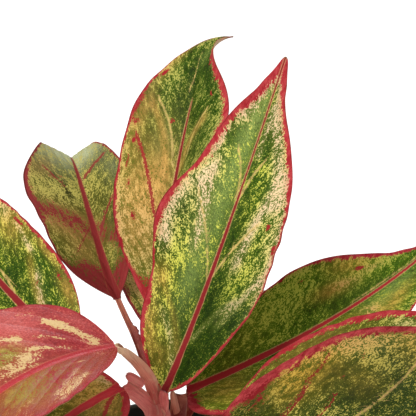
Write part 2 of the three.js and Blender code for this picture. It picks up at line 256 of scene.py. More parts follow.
FORMS = {
    "front_tall": Form(
        Shoot.MAIN, (-8, -8, 166.5), 192, 76, 42, 62, node=10, side=308, swing=3, droop=0, roll=13, twist=3,
        fold=(18, 17), flatten=0.3, curl=6, skew=0.04, wave=(4, -5), lobe=(0.03, -0.03),
        waves=2.75, phase=(-0.05, 0.35), widest=0.5, full=0.65, taper=1.33, belly=1.63, sweep=(0.38, 0.5),
    ),
    "back_tall": Form(
        Shoot.MAIN, (-12.5, 32, 181.5), 183, 76, 81, 66.5, swing=-20, droop=16, hook=45, veer=-70,
        turn=60, roll=-19, twist=-7, fold=(19, 18), curl=4, skew=-0.03, wave=(4.5, -7.5), lobe=(-0.06, 0.07),
        waves=2.35, phase=(0.48, 0.57), widest=0.57, full=1.2, taper=1.38, belly=2.3,
    ),
    "back_left": Form(
        Shoot.MAIN, (-35.8, 52, 193.2), 161, 69, 115, 45, node=46, side=120, swing=-17, droop=108, sag=2.05,
        roll=-16, twist=28, fold=(27, 39), curl=2, skew=-0.16, wave=(-1.5, 0), lobe=(0.07, -0.03),
        waves=2.65, phase=(0.02, 0.74), widest=0.4, full=0.87, taper=1.37, belly=1.7, climb=0.25, arrival=0.2,
    ),
    "inner_back": Form(
        Shoot.MAIN, (-7, 42, 170), 145, 56, 98, 42, node=8, side=95, swing=4, droop=60, roll=8, wave=(2, -3),
    ),
    "front_left": Form(
        Shoot.MAIN, (-32, -35.5, 208), 147, 78, 212, 5, node=46, side=251, swing=4, droop=72, sag=1.3,
        roll=-16, twist=-8, fold=(21, 21), curl=3, skew=0.07, wave=(1, -2.6), lobe=(0, 0),
        phase=(0, 0.55), full=0.68, belly=2.1, climb=0.3, arrival=0.1,
    ),
    "low_front_left": Form(
        Shoot.MAIN, (-30, -28, 180), 145, 69, 224, 2, node=38, side=225, swing=9, droop=56, sag=1.2,
        roll=-16, twist=-2, fold=(16, 22), curl=6, wave=(0, -1), lobe=(0, 0),
        phase=(0, 0.57), widest=0.41, full=0.58, belly=2.1, climb=0.2, arrival=0.04,
    ),
    "left": Form(
        Shoot.LEFT, (-58.5, -12, 193), 166, 70, 135, 21, swing=-25, droop=24, roll=-31, twist=-23,
        fold=(12, 21), curl=10, skew=0.03, wave=(0, 1.5), lobe=(0, -0.02),
        waves=1.7, widest=0.48, full=0.48, taper=1.2, belly=2.35,
    ),
    "low_left": Form(
        Shoot.LEFT, (-62, 6, 146), 140, 62, 178, 24, node=8, side=190, swing=8, droop=58, roll=-6, twist=8,
        wave=(3, -3),
    ),
    "right_back": Form(
        Shoot.RIGHT, (4, 14.6, 153.6), 195, 78, 352, 28, swing=62, droop=12, sag=1.3, roll=17, twist=6,
        fold=(24, 9), curl=4, skew=0.03, wave=(-5, 2), lobe=(0, 0),
        waves=2, phase=(-0.39, 0.41), widest=0.4, full=0.34, taper=1.55, belly=1.36,
    ),
    "back": Form(
        Shoot.RIGHT, (19, 42, 148), 140, 60, 80, 20, node=9, side=100, swing=8, droop=52, roll=4, twist=-8,
        wave=(3, 4),
    ),
    "back_right": Form(
        Shoot.RIGHT, (38, 28, 140), 148, 64, 42, 16, node=4, side=30, swing=6, droop=46, roll=6, twist=4,
        wave=(-3, 3),
    ),
    "right": Form(
        Shoot.FRONT_RIGHT, (26.5, -20, 161), 171, 66, 339, 34, swing=10, droop=25, roll=30, twist=12,
        fold=(5, 12), curl=17, wave=(2, 0), lobe=(-0.03, 0),
        waves=2.6, phase=(-0.2, 0.5), widest=0.42, full=0.76, taper=1.26, belly=2.2,
    ),
    "right_front": Form(
        Shoot.FRONT_RIGHT, (17.5, -55, 158), 208, 87, 337, 28, node=8, side=270, swing=11, droop=30, roll=35,
        twist=12, fold=(17, 12), curl=10, skew=-0.08, wave=(3, 0), lobe=(0, 0),
        waves=2.3, phase=(0.29, 0.5), widest=0.5, full=0.58, belly=2.15,
    ),
    "front": Form(
        Shoot.FRONT_RIGHT, (-2, -58, 140), 138, 62, 262, 22, node=4, side=200, swing=-12, droop=66, roll=8,
        twist=-6, wave=(3, -3),
    ),
}


# ---------------- shader maths


class Wire:
    """A number on its way through a shader tree, which takes part in Python expressions."""

    def __init__(self, shader: "Shader", socket: bpy.types.NodeSocket) -> None:
        """Wrap a socket.

        Args:
            shader: The shader that the socket belongs to.
            socket: The output socket.
        """
        self.shader = shader
        self.socket = socket

    def math(self, operation: str, *others: "Wire | float") -> "Wire":
        """Return this number after one Math node.

        Args:
            operation: The Math node's operation.
            others: Its second and third operand.

        Returns:
            The node's result.
        """
        operands = dict(enumerate((self, *others)))
        return self.shader.node("ShaderNodeMath", {"operation": operation}, operands)

    def __add__(self, other: "Wire | float") -> "Wire":
        """Return the sum."""
        return self.math("ADD", other)

    def __sub__(self, other: "Wire | float") -> "Wire":
        """Return the difference."""
        return self.math("SUBTRACT", other)

    def __rsub__(self, other: float) -> "Wire":
        """Return the reflected difference."""
        return self.math("MULTIPLY_ADD", -1.0, other)

    def __mul__(self, other: "Wire | float") -> "Wire":
        """Return the product."""
        return self.math("MULTIPLY", other)

    __radd__ = __add__
    __rmul__ = __mul__

    def size(self) -> "Wire":
        """Return the absolute value."""
        return self.math("ABSOLUTE")

    def at_most(self, limit: float) -> "Wire":
        """Return the number, or the limit where that is smaller."""
        return self.math("MINIMUM", limit)

    def off_whole(self) -> "Wire":
        """Return how far the number is from the nearest whole number."""
        return (self - self.math("ROUND")).size()

    def step(self, low: "Wire | float", high: "Wire | float") -> "Wire":
        """Return a smooth step.

        Args:
            low: Where the step is still 0.
            high: Where it has reached 1.

        Returns:
            The step, or its reverse where low is above high.
        """
        inputs = {"Value": self, "From Min": low, "From Max": high}
        return self.shader.node("ShaderNodeMapRange", {"interpolation_type": "SMOOTHSTEP"}, inputs)


class Shader:
    """One material that is being written."""

    def __init__(self, name: str) -> None:
        """Start an empty material.

        Args:
            name: The material's name.
        """
        self.material = bpy.data.materials.new(name)
        self.material.use_nodes = True
        self.tree = self.material.node_tree
        self.tree.nodes.clear()

    def node(self, kind: str, settings: dict, inputs: dict, output: int | str = 0) -> Wire:
        """Add one node.

        Args:
            kind: The node's type.
            settings: Its own settings, which are set before its sockets.
            inputs: Values or wires by socket name or number.
            output: The output socket to return.

        Returns:
            The chosen output.
        """
        made = self.tree.nodes.new(kind)
        for key, value in settings.items():
            setattr(made, key, value)
        for key, value in inputs.items():
            if isinstance(value, Wire):
                self.tree.links.new(value.socket, made.inputs[key])
            else:
                made.inputs[key].default_value = value
        return Wire(self, made.outputs[output])

    def parts(self, attribute: str) -> tuple[Wire, Wire, Wire]:
        """Read a mesh attribute.

        Args:
            attribute: Its name.

        Returns:
            The three numbers that it holds.
        """
        vector = self.node("ShaderNodeAttribute", {"attribute_name": attribute}, {}, "Vector")
        split = self.tree.nodes.new("ShaderNodeSeparateXYZ")
        self.tree.links.new(vector.socket, split.inputs[0])
        return tuple(Wire(self, socket) for socket in split.outputs)

    def place(self) -> Wire:
        """Return the place on the object."""
        return self.node("ShaderNodeTexCoord", {}, {}, "Object")

    def vector(self, x: Wire | float, y: Wire | float, z: Wire | float) -> Wire:
        """Return the vector of three numbers."""
        return self.node("ShaderNodeCombineXYZ", {}, {0: x, 1: y, 2: z})

    def noise(self, vector: Wire, scale: float = 1.0, detail: float = 2.0, rough: float = 0.5) -> Wire:
        """Return noise spread over 0 to 1.

        Args:
            vector: Where to read it.
            scale: How many lumps there are in a unit.
            detail: How many finer layers it has.
            rough: How strong they are.

        Returns:
            The noise, with its usual range stretched to 0 to 1.
        """
        inputs = {"Vector": vector, "Scale": scale, "Detail": detail, "Roughness": rough}
        raw = self.node("ShaderNodeTexNoise", {}, inputs)
        return self.node("ShaderNodeMapRange", {}, {"Value": raw, "From Min": 0.28, "From Max": 0.72})

    def grains(self, noise: Wire, share: Wire | float, soft: float = 0.07) -> Wire:
        """Return a mask of the grains where noise is highest.

        Args:
            noise: Noise over 0 to 1.
            share: How much of the surface the grains take up.
            soft: How soft their edges are.

        Returns:
            The mask.
        """
        level = 1.0 - share
        return noise.step(level - soft, level + soft)

    def mix(self, share: Wire | float, first: Wire | Shade, second: Wire | Shade) -> Wire:
        """Return a mix of two colours.

        Args:
            share: How much of the second there is.
            first: The colour below.
            second: The colour above.

        Returns:
            The mixed colour.
        """
        first, second = ((*tint(c), 1.0) if isinstance(c, tuple) else c for c in (first, second))
        return self.node("ShaderNodeMix", {"data_type": "RGBA"}, {0: share, 6: first, 7: second}, 2)

    def surface(
        self, colour: Wire, roughness: Wire | float, height: Wire, depth: float, gloss: float = 0.5
    ) -> bpy.types.Material:
        """Finish the material with a bumpy surface.

        Args:
            colour: The base colour.
            roughness: The roughness.
            height: A bump height from 0 to 1.
            depth: How deep that bump is, in mm.
            gloss: The specular level.

        Returns:
            The material.
        """
        bump = self.node("ShaderNodeBump", {}, {"Distance": depth * MM, "Strength": 1.0, "Height": height})
        inputs = {"Base Color": colour, "Roughness": roughness, "Normal": bump, "Specular IOR Level": gloss}
        return self.close(inputs)

    def close(self, inputs: dict) -> bpy.types.Material:
        """End the tree in a Principled surface.

        Args:
            inputs: Values or wires by the surface's socket name.

        Returns:
            The material.
        """
        shaded = self.node("ShaderNodeBsdfPrincipled", {}, inputs)
        out = self.tree.nodes.new("ShaderNodeOutputMaterial")
        self.tree.links.new(shaded.socket, out.inputs["Surface"])
        return self.material


# ---------------- leaf finishes


@dataclass(frozen=True)
class LeafFinish:
    """The shades of one kind of leaf, and how much of the blade its specks and blotches take up.

    deep, green and pale are the ground, fresh the ground below a cream mark, and dim the specks on deep
    ground; on some leaves the deep marks are painted shade, and the pale ones painted sheen and highlights.
    yellow_light, cream_dark and red_light lie where the grains clump, and dry is the tip's. solid is
    how much of a cream mark is one even blotch, and holes how much green shows through a yellow one. Specks
    gather within shore_reach of the margin, and drawn lines and the midrib stray by line_wobble and
    rib_wobble, all in mm.
    """

    name: str
    deep: Shade = (20, 34, 6)
    green: Shade = (76, 116, 18)
    pale: Shade = (138, 156, 82)
    speck: Shade = (210, 208, 84)
    dim: Shade = (84, 100, 30)
    fresh: Shade = (132, 146, 56)
    yellow: Shade = (150, 106, 40)
    yellow_light: Shade = (206, 156, 78)
    cream: Shade = (238, 218, 172)
    cream_dark: Shade = (214, 158, 124)
    red: Shade = (150, 34, 40)
    red_light: Shade = (206, 86, 88)
    rib: Shade = (130, 36, 38)
    rib_side: Shade = (196, 148, 104)
    cream_line: Shade = (204, 174, 104)
    under: Shade = (168, 182, 120)
    under_rose: Shade = (216, 134, 118)
    dry: Shade = (120, 84, 56)
    speck_share: float = 0.34
    most_specks: float = 0.6
    cream_share: float = 0.02
    solid: float = 0.0
    holes: float = 0.52
    most_red: float = 0.66
    shore_reach: float = 4.0
    line_wobble: float = 2.0
    rib_wobble: float = 0.5
    under_veil: float = 0.62
    bump: float = 0.2
    roughness: float = 0.46
    gloss: float = 0.045

    def material(self) -> bpy.types.Material:
        """Write the material that paints a blade by its own attributes, all of whose lengths are in mm.

        Returns:
            The material.
        """
        s = Shader(self.name)
        across, along, aside = s.parts("place")
        edge, band, face = s.parts("edges")
        rib, rib_width, vein = s.parts("rib")
        line, ink, redness = s.parts("lines")
        cream, red, speck = s.parts("paint")
        deep, yellow, pale = s.parts("tint")
        from_tip, _, _ = s.parts("tip")

        # Four sizes of grain, all drawn out along the side veins.
        grain = s.noise(s.vector(across * 1.5, along * 0.8, aside * 0.15), detail=1.0, rough=0.6)
        dust = s.noise(s.vector(across * 2.6, along * 1.6, aside * 0.2 + 7.0), detail=1.0)
        clump = s.noise(s.vector(across * 0.42, along * 0.17, aside * 0.05 + 13.0), detail=2.5, rough=0.6)
        cloud = s.noise(s.vector(across * 0.06, along * 0.04, aside * 0.02 + 19.0), detail=1.0)
        dot = grain * 0.68 + dust * 0.32
        blot = dot * 0.58 + clump * 0.42
        shore = edge.step(band + self.shore_reach, band)

        # The green ground, and the yellow and pale tones that stain it. On some leaves the deep marks that
        # darken the ground are painted shade, and the pale marks painted sheen and highlights.
        lively = (clump * 0.55 + dot * 0.75 + cloud * 0.3 - 0.3) * (1.0 - deep * 0.85)
        colour = s.mix(lively, self.deep, self.green)
        colour = s.mix(pale * (0.25 + dot * 0.9), colour, self.pale)
        colour = s.mix(cream * 0.5, colour, self.fresh)
        golden = s.mix(clump * 0.9 + dust * 0.4 - 0.1, self.yellow, self.yellow_light)
        colour = s.mix(yellow * (0.55 + clump * 0.35), colour, golden)

        # Specks, which turn to chalky blotches where the blade is painted cream.
        dots = self.speck_share + speck + (clump - 0.5) * (0.64 - deep * 0.4) + (cloud - 0.5) * 0.3
        dots = dots + cream * 0.4 + shore * 0.08 - deep * 0.12 - pale * 0.12 - yellow * 0.16
        dots = dots.at_most(self.most_specks)
        chalk = s.mix(clump * 0.4 + dust * 0.4 + shore * 0.4 - 0.1, self.cream, self.cream_dark)
        light = s.mix(cream * 2.0 + self.cream_share + shore * 0.2, self.speck, chalk)
        light = s.mix(yellow * 0.7, light, self.yellow_light)
        light = s.mix(deep * 0.9, light, self.dim)
        colour = s.mix(s.grains(dust, dots * 0.6, 0.14) * 0.4, colour, light)
        colour = s.mix(s.grains(dot, dots, 0.08) * 0.92, colour, light)
        colour = s.mix(s.grains(blot, cream * self.solid - yellow * 0.3, 0.05), colour, chalk)
        hole = s.mix(clump, self.green, self.deep)
        colour = s.mix(s.grains(1.0 - dot, self.holes - clump * 0.4, 0.08) * yellow * 0.75, colour, hole)

        # Lines drawn along veins, and red flecks.
        thread = line.size() + (dot - 0.5) * self.line_wobble
        drawn = thread.step(ink + 0.15, ink - 0.15) * ink.step(0.05, 0.2)
        colour = s.mix(drawn * (1.0 - redness) * (dot + clump * 0.7 - 0.1), colour, self.cream_line)
        flecks = red + (cloud - 0.7) * 0.1 + shore * 0.22
        colour = s.mix(s.grains(blot, flecks.at_most(self.most_red)), colour, self.red)
        colour = s.mix(drawn * redness * 0.9, colour, self.red)

        # The ragged red margin, the midrib with its pale sides, and the dry tip.
        ragged = (dot - 0.5) * 2.8 + (clump - 0.5) * 3.2
        margin = (edge + ragged * (band * 0.26 + 0.2)).step(band + 0.35, band - 0.25)
        colour = s.mix(margin, colour, s.mix(clump * 0.6 + dust * 0.3 - 0.22, self.red, self.red_light))
        off = rib.size() + (dot - 0.5) * self.rib_wobble
        half = rib_width * 0.5
        side = off.step(half + 0.75, half + 0.3) * rib_width.step(0.05, 0.5)
        colour = s.mix(side * 0.6, colour, self.rib_side)
        colour = s.mix(off.step(half + 0.2, half - 0.15) * rib_width.step(0.0, 0.3), colour, self.rib)
        colour = s.mix(from_tip.step(1.6, 0.3), colour, self.dry)

        # The under face: the same pattern below a dull green and rosy veil, with red veins.
        veil = s.mix(clump * 1.1 + cloud * 0.7 - 0.65, self.under, self.under_rose)
        below = s.mix(self.under_veil, colour, veil)
        off_vein = vein.off_whole()
        below = s.mix(off_vein.step(0.07, 0.02) * 0.4, below, self.under_rose)
        below = s.mix(rib.size().step(2.4, 0.9) * 0.8, below, self.rib)
        colour = s.mix(face, below, colour)

        height = dust * 0.25 + grain * 0.35 + off_vein.step(0.0, 0.16) * 0.5
        return s.surface(colour, self.roughness + (grain - 0.5) * 0.1, height, self.bump, self.gloss)


GREEN = LeafFinish("green_leaf", speck_share=0.31)
MELLOW = LeafFinish("mellow_leaf", speck=(180, 176, 86), yellow=(174, 124, 58), yellow_light=(226, 174, 98))
# The olive leaves' pale is whitish, for the painted sheen on the back left leaf.
OLIVE = LeafFinish(
    "olive_leaf", dim=(112, 116, 48), fresh=(150, 138, 70), deep=(52, 50, 14), green=(122, 128, 46),
    pale=(202, 208, 164), speck=(184, 172, 88), yellow=(138, 80, 44), yellow_light=(188, 142, 84),
    cream=(206, 172, 108), cream_dark=(180, 140, 84), red=(134, 46, 46), red_light=(160, 64, 62),
    rib=(140, 48, 48), rib_side=(150, 84, 58), under=(160, 158, 112),
)
# Darker shades painted for a leaf that lies in shade: painted shade over the whole blade.
SHADED = LeafFinish(
    "shaded_leaf", dim=(92, 92, 30), deep=(26, 32, 4), green=(56, 84, 14), pale=(106, 116, 44),
    speck=(176, 162, 78), yellow=(104, 74, 18), yellow_light=(190, 150, 58), holes=0.7, cream=(196, 148, 92),
    cream_dark=(168, 126, 70), red=(116, 24, 28), rib=(112, 26, 32), rib_side=(160, 104, 70),
    cream_line=(170, 138, 84),
)
# Specks and cream dimmer than the green leaf's, as painted shade, with a lighter ground and midrib.
DUSK = LeafFinish(
    "dusk_leaf", deep=(40, 52, 8), green=(92, 138, 22), speck=(168, 172, 66), dim=(98, 116, 36),
    yellow=(150, 96, 38), yellow_light=(204, 140, 66), red=(146, 32, 40), rib=(164, 44, 48),
    cream=(222, 178, 120), cream_dark=(196, 136, 92),
)
LOW = LeafFinish(
    "low_leaf", deep=(60, 64, 12), green=(120, 128, 34), speck=(196, 174, 78), yellow=(156, 106, 42),
    rib=(196, 56, 62), rib_side=(206, 120, 92), red=(176, 44, 50),
)
# The red leaf's pale is a glossy pink, for painted highlights on the front left leaf.
CRIMSON = LeafFinish(
    "crimson_leaf", deep=(120, 24, 32), dim=(176, 56, 58), fresh=(190, 74, 66), green=(182, 50, 54),
    pale=(216, 112, 104), speck=(196, 78, 76), yellow=(92, 100, 24), yellow_light=(168, 164, 60),
    cream=(222, 194, 136), cream_dark=(204, 158, 106), red=(150, 30, 38), solid=0.72, rib=(176, 48, 54),
    rib_side=(206, 96, 84), cream_line=(226, 168, 116), speck_share=0.1, most_specks=0.9, roughness=0.26,
    gloss=0.5,
)
LEAF_FINISHES = (GREEN, MELLOW, OLIVE, SHADED, DUSK, LOW, CRIMSON)


@dataclass(frozen=True)
class Look:
    """How one blade is painted: widths in mm as (share of the length, width) pairs, and its brush marks.

    drift is how far the midrib strays to the right of the middle. Past the share wild_from, and on the whole
    blade by default, further marks are scattered from the seed.
    """

    finish: LeafFinish = GREEN
    left_band: tuple[Pair, ...] = (
        (0, 1.0), (0.2, 2.0), (0.4, 0.8), (0.6, 1.4), (0.8, 2.2), (0.92, 2.6), (1, 4),
    )
    right_band: tuple[Pair, ...] = (
        (0, 1.0), (0.15, 1.8), (0.35, 0.8), (0.55, 1.6), (0.75, 1.2), (0.9, 2.6), (1, 4),
    )
    rib: tuple[Pair, ...] = ((0, 4.6), (0.15, 3.6), (0.4, 2.4), (0.65, 1.2), (1, 0.8))
    drift: float = 0.8
    tip_round: float = 0.9
    tip_taper: float = 0.0
    wild_from: float = 0.0
    seed: int = 1
    marks: tuple[Mark, ...] = ()

    def scattered(self) -> list[Mark]:
        """Draw marks in the plant's own manner for the part of the blade that has no listed marks.

        Returns:
            The marks, the same at every run.
        """
        dice = random.Random(self.seed)
        room = 1 - self.wild_from
        marks: list[Mark] = []

        def spot(low: float = 0.05, high: float = 0.95) -> float:
            """Return a random place along the bare part of the blade."""
            return self.wild_from + room * dice.uniform(low, high)

        for side in (-1, 1):
            for _ in range(round(7 * room)):
                t, reach = spot(0.0, 0.6), dice.uniform(0.1, 0.6)
                end = (t + 0.2 * dice.uniform(0.7, 1.1), side * min(0.95, reach + 0.4))
                width, strength = dice.uniform(2.5, 7), dice.uniform(0.2, 0.5)
                marks.append(Stroke(Tone.CREAM, (t, side * reach), end, width, strength))
            for _ in range(round(3 * room)):
                t = spot(0.0, 0.6)
                width = dice.uniform(0.7, 1.4)
                marks.append(Stroke(Ink.CREAM, (t, 0), (t + 0.2, side * 0.6), width, 0.8, -2 * side))
            for _ in range(round(5 * room)):
                place = (spot(), side * dice.uniform(0.78, 0.95))
                radii = (dice.uniform(0.03, 0.09), 0.12)
                marks.append(Patch(Tone.CREAM, *place, radii, dice.uniform(0.2, 0.45)))
                place = (spot(), side * dice.uniform(0.8, 0.95))
                radii = (dice.uniform(0.02, 0.05), 0.08)
                marks.append(Patch(Tone.RED, *place, radii, dice.uniform(0.2, 0.45)))
            for _ in range(round(4 * room)):
                place = (spot(0.0, 0.7), side * dice.uniform(0.5, 0.9))
                radii = (dice.uniform(0.05, 0.1), 0.25)
                marks.append(Patch(Tone.YELLOW, *place, radii, dice.uniform(0.2, 0.6)))
            place = (spot(0.4, 0.8), side * 0.2)
            marks.append(Patch(Tone.PALE, *place, (0.25 * room, 0.18), dice.uniform(0.1, 0.6)))
            place = (spot(0.1, 0.8), side * 0.35)
            marks.append(Patch(Tone.DEEP, *place, (0.18, 0.3), dice.uniform(0.1, 0.45)))
        return marks


LOOKS = {
    "inner_back": Look(OLIVE, seed=31),
    "low_left": Look(seed=33),
    "back": Look(seed=34),
    "back_right": Look(seed=35),
    "front": Look(seed=36),
}
LOOKS["front_tall"] = Look(
    left_band=(
        (0, 1), (0.08, 1.2), (0.14, 2.0), (0.2, 3.2), (0.26, 3.0), (0.32, 1.2), (0.38, 1.0), (0.43, 2.6),
        (0.5, 3.4), (0.56, 2.8), (0.6, 2.0), (0.66, 3.2), (0.72, 3.4), (0.78, 2.6), (0.84, 3.4), (1, 5),
    ),
    right_band=(
        (0, 1.7), (0.2, 1.3), (0.3, 0.8), (0.45, 0.7), (0.55, 1.1), (0.62, 1.8), (0.7, 2.8), (0.86, 3.4),
        (1, 5),
    ),
    rib=((0, 4.6), (0.12, 3.9), (0.25, 3.0), (0.4, 2.4), (0.55, 1.5), (0.65, 0.9), (1, 0.8)),
    drift=2.3, tip_round=1.2, tip_taper=0.36, wild_from=1.0,
    marks=(
        # Silver-green beside the midrib: partly the leaf's own colour, partly a painted sheen on the left
        # half.
        *patches(
            Tone.PALE, (0.62, -0.22, 0.28, 0.24, 0.8), (0.84, -0.3, 0.1, 0.3, 0.6),
            (0.33, -0.3, 0.1, 0.2, 0.4),
        ),
        *patches(
            Tone.CREAM, (0.84, -0.58, 0.06, 0.35, 0.6), (0.93, -0.5, 0.04, 0.5, 0.6),
            (0.63, -0.6, 0.05, 0.13, 0.45), (0.72, -0.8, 0.05, 0.12, 0.5), (0.5, -0.84, 0.13, 0.12, 0.42),
            (0.41, -0.8, 0.03, 0.1, 0.35), (0.55, -0.55, 0.12, 0.3, 0.18), (0.42, 0.97, 0.2, 0.06, 0.3),
            (0.52, 0.88, 0.14, 0.2, 0.25),
        ),
        *patches(Tone.SPECK, (0.4, -0.65, 0.2, 0.3, 0.15)),
        *patches(
            Tone.RED, (0.5, -0.9, 0.06, 0.07, 0.3), (0.67, -0.74, 0.04, 0.1, 0.4),
            (0.535, 0.73, 0.014, 0.05, 0.8), (0.485, 0.94, 0.016, 0.03, 0.9),
        ),
        *patches(
            Tone.YELLOW, (0.16, -0.85, 0.07, 0.22, 0.8), (0.3, -0.8, 0.04, 0.2, 0.6),
            (0.09, -0.5, 0.05, 0.35, 0.4),
        ),
        *strokes(
            Tone.CREAM, (0.08, -0.1, 0.2, -0.55, 4, 0.35, 2), (0.42, -0.35, 0.6, -0.65, 5, 0.4, 2),
            (0.46, -0.3, 0.58, -0.45, 4, 0.4, 1), (0.42, 0.42, 0.64, 0.76, 8, 0.52, -1),
            (0.62, 0.76, 0.8, 0.6, 9, 0.42, 0), (0.8, 0.55, 0.94, 0.4, 6, 0.35, 0),
            (0.18, 0.25, 0.3, 0.62, 4, 0.4, -1), (0.24, 0.6, 0.38, 0.86, 5, 0.4, 0),
            (0.72, 0.2, 0.84, 0.3, 4, 0.5, 0),
        ),
        *strokes(Tone.YELLOW, (0.12, -0.05, 0.28, -0.7, 4, 0.3, 2)),
        *strokes(
            Ink.CREAM, (0.345, 0.0, 0.56, -0.58, 0.9, 1.0, 2), (0.58, 0.0, 0.71, -0.3, 0.9, 1.0, 2),
            (0.335, 0.08, 0.52, 0.5, 1.4, 1.0, -2), (0.585, 0.08, 0.7, 0.36, 1.3, 1.0, -1),
        ),
        # Darker ground: a smooth deep zone beside the midrib, and painted shade low on the right half.
        *patches(
            Tone.DEEP, (0.1, 0.5, 0.14, 0.6, 0.95), (0.24, -0.25, 0.1, 0.2, 0.5), (0.3, 0.25, 0.1, 0.3, 0.75),
            (0.52, 0.2, 0.13, 0.2, 0.6), (0.26, 0.85, 0.1, 0.25, 0.6),
        ),
    ),
)
LOOKS["back_tall"] = Look(
    MELLOW,
    left_band=((0, 4), (0.18, 2.6), (0.24, 1.6), (0.6, 1.7), (0.78, 1.3), (0.86, 0.3), (1, 0.3)),
    right_band=((0, 3), (0.4, 2.0), (0.6, 3.6), (0.7, 4.4), (0.88, 4.4), (0.94, 2.6), (1, 1)),
    rib=((0, 4), (0.3, 3), (0.5, 2.2), (0.6, 1.7), (0.7, 0.9), (0.75, 0), (1, 0)),
    drift=0.3, wild_from=1.0,
    marks=(
        *patches(
            Tone.YELLOW, (0.38, -0.6, 0.2, 0.6, 0.9), (0.45, -0.3, 0.08, 0.2, 0.8),
            (0.66, -0.85, 0.09, 0.15, 0.6), (0.84, -0.95, 0.06, 0.2, 0.5), (0.45, 0.8, 0.06, 0.3, 0.7),
        ),
        *patches(Tone.CREAM, (0.32, -0.6, 0.14, 0.5, 0.3)),
        *patches(Tone.SPECK, (0.4, -0.9, 0.12, 0.15, 0.2)),
        *patches(
            Tone.DEEP, (0.76, -0.12, 0.14, 0.3, 0.6), (0.8, 0.6, 0.09, 0.3, 0.5), (0.6, 0.4, 0.1, 0.5, 0.5),
        ),
        *patches(
            Tone.RED, (0.42, 0.5, 0.08, 0.5, 0.42), (0.7, -0.92, 0.05, 0.06, 0.5),
            (0.65, -0.84, 0.014, 0.05, 0.65), (0.59, -0.8, 0.014, 0.05, 0.75), (0.52, -0.84, 0.03, 0.04, 0.7),
            (0.81, -0.85, 0.012, 0.06, 0.8), (0.45, -0.76, 0.025, 0.05, 0.55),
            (0.35, -0.66, 0.025, 0.07, 0.6), (0.66, -0.25, 0.012, 0.05, 0.7), (0.745, 0.6, 0.01, 0.05, 0.8),
            (0.13, -0.5, 0.06, 0.6, 0.6),
        ),
        *patches(Tone.PALE, (0.9, 0.1, 0.05, 0.3, 0.4), (0.58, -0.3, 0.08, 0.15, 0.3)),
        *strokes(Ink.RED, (0.36, -0.28, 0.6, -0.76, 2.0, 1.0, 2)),
        *strokes(
            Ink.CREAM, (0.53, -0.1, 0.72, -0.6, 1.2, 1.0, 3), (0.56, 0.25, 0.69, 0.5, 1.0, 0.8, -2),
            (0.77, -0.1, 0.88, -0.2, 0.7, 0.6, 1),
        ),
        *strokes(Tone.YELLOW, (0.5, -0.2, 0.7, -0.66, 5, 0.6, 3), (0.52, 0.1, 0.66, 0.45, 5, 0.6, -2)),
    ),
)
LOOKS["back_left"] = Look(
    OLIVE,
    left_band=(
        (0, 3), (0.12, 2), (0.2, 0.6), (0.36, 1.6), (0.42, 3), (0.5, 3), (0.56, 1.2), (0.72, 1), (1, 2),
    ),
    right_band=((0, 3), (0.2, 1.5), (0.5, 1), (0.8, 1), (1, 2)),
    rib=((0, 8), (0.08, 5.6), (0.3, 3.6), (0.48, 2.7), (0.58, 2.0), (0.66, 1.3), (0.72, 0.8), (1, 0.6)),
    drift=-2.6, wild_from=0.78,
    marks=(
        *patches(
            Tone.YELLOW, (0.3, -0.55, 0.05, 0.5, 0.7), (0.2, -0.4, 0.08, 0.3, 0.6),
            (0.54, -0.75, 0.05, 0.2, 0.6),
        ),
        *strokes(Tone.RED, (0.27, -0.08, 0.37, -0.95, 17, 0.48, 1)),
        *patches(
            Tone.RED, (0.2, -0.5, 0.16, 0.6, 0.2), (0.1, -0.6, 0.06, 0.4, 0.56), (0.5, -0.5, 0.03, 0.3, 0.45),
            (0.2, 0.6, 0.06, 0.3, 0.4), (0.05, 0.3, 0.05, 1.2, 0.9), (0.1, 0.6, 0.06, 0.4, 0.45),
        ),
        *strokes(Tone.YELLOW, (0.27, -0.08, 0.37, -0.95, 16, 0.4, 1)),
        # Painted sheen: a whitish band across the blade where it arches away.
        *patches(
            Tone.PALE, (0.7, -0.4, 0.12, 0.9, 0.95), (0.71, 0.5, 0.09, 0.7, 0.75),
            (0.48, 0.8, 0.08, 0.3, 0.2),
        ),
        *patches(Tone.SPECK, (0.66, 0.0, 0.12, 1.0, 0.14), (0.43, -0.45, 0.06, 0.5, 0.35)),
        *patches(
            Tone.DEEP, (0.38, 0.25, 0.05, 0.2, 0.4), (0.23, 0.15, 0.02, 0.15, 0.6),
            (0.27, 0.35, 0.08, 0.4, 0.5),
        ),
        *strokes(
            Ink.RED, (0.3, -0.08, 0.2, -0.5, 1.4, 0.5, 0), (0.52, 0.02, 0.57, 0.72, 3.0, 0.9, -1),
            (0.25, 0.0, 0.36, 0.5, 1.8, 1.0, -1), (0.47, -0.38, 0.53, -0.66, 1.6, 0.8, 0),
        ),
    ),
)
LOOKS["left"] = Look(
    right_band=((0, 0.8), (0.12, 0.3), (0.2, 1.4), (0.38, 1.5), (0.5, 0.9), (0.7, 1.6), (1, 4)),
    rib=((0, 4.4), (0.3, 3.4), (0.45, 2.6), (0.7, 1.4), (1, 0.8)),
    drift=-1.0, wild_from=0.5, seed=12,
    marks=(
        *patches(
            Tone.DEEP, (0.08, 0.3, 0.2, 0.7, 0.35), (0.42, 0.3, 0.1, 0.3, 0.3), (0.32, 0.15, 0.06, 0.12, 0.5),
            (0.35, -0.2, 0.08, 0.15, 0.5),
        ),
        *patches(
            Tone.YELLOW, (0.15, 0.85, 0.06, 0.15, 0.8), (0.45, 0.9, 0.12, 0.08, 0.25),
            (0.3, 0.92, 0.06, 0.08, 0.7),
        ),
        *strokes(Ink.CREAM, (0.33, 0.05, 0.42, 0.12, 1.8, 0.9)),
        *strokes(Tone.CREAM, (0.16, 0.2, 0.27, 0.5, 5, 0.6, -1), (0.36, 0.72, 0.48, 0.86, 4, 0.45)),
        *strokes(Tone.YELLOW, (0.2, 0.25, 0.34, 0.6, 5, 0.4, -1)),
        *patches(
            Tone.RED, (0.48, 0.9, 0.05, 0.03, 0.7), (0.21, 0.82, 0.025, 0.05, 0.7),
            (0.26, 0.45, 0.012, 0.08, 0.6),
        ),
    ),
)
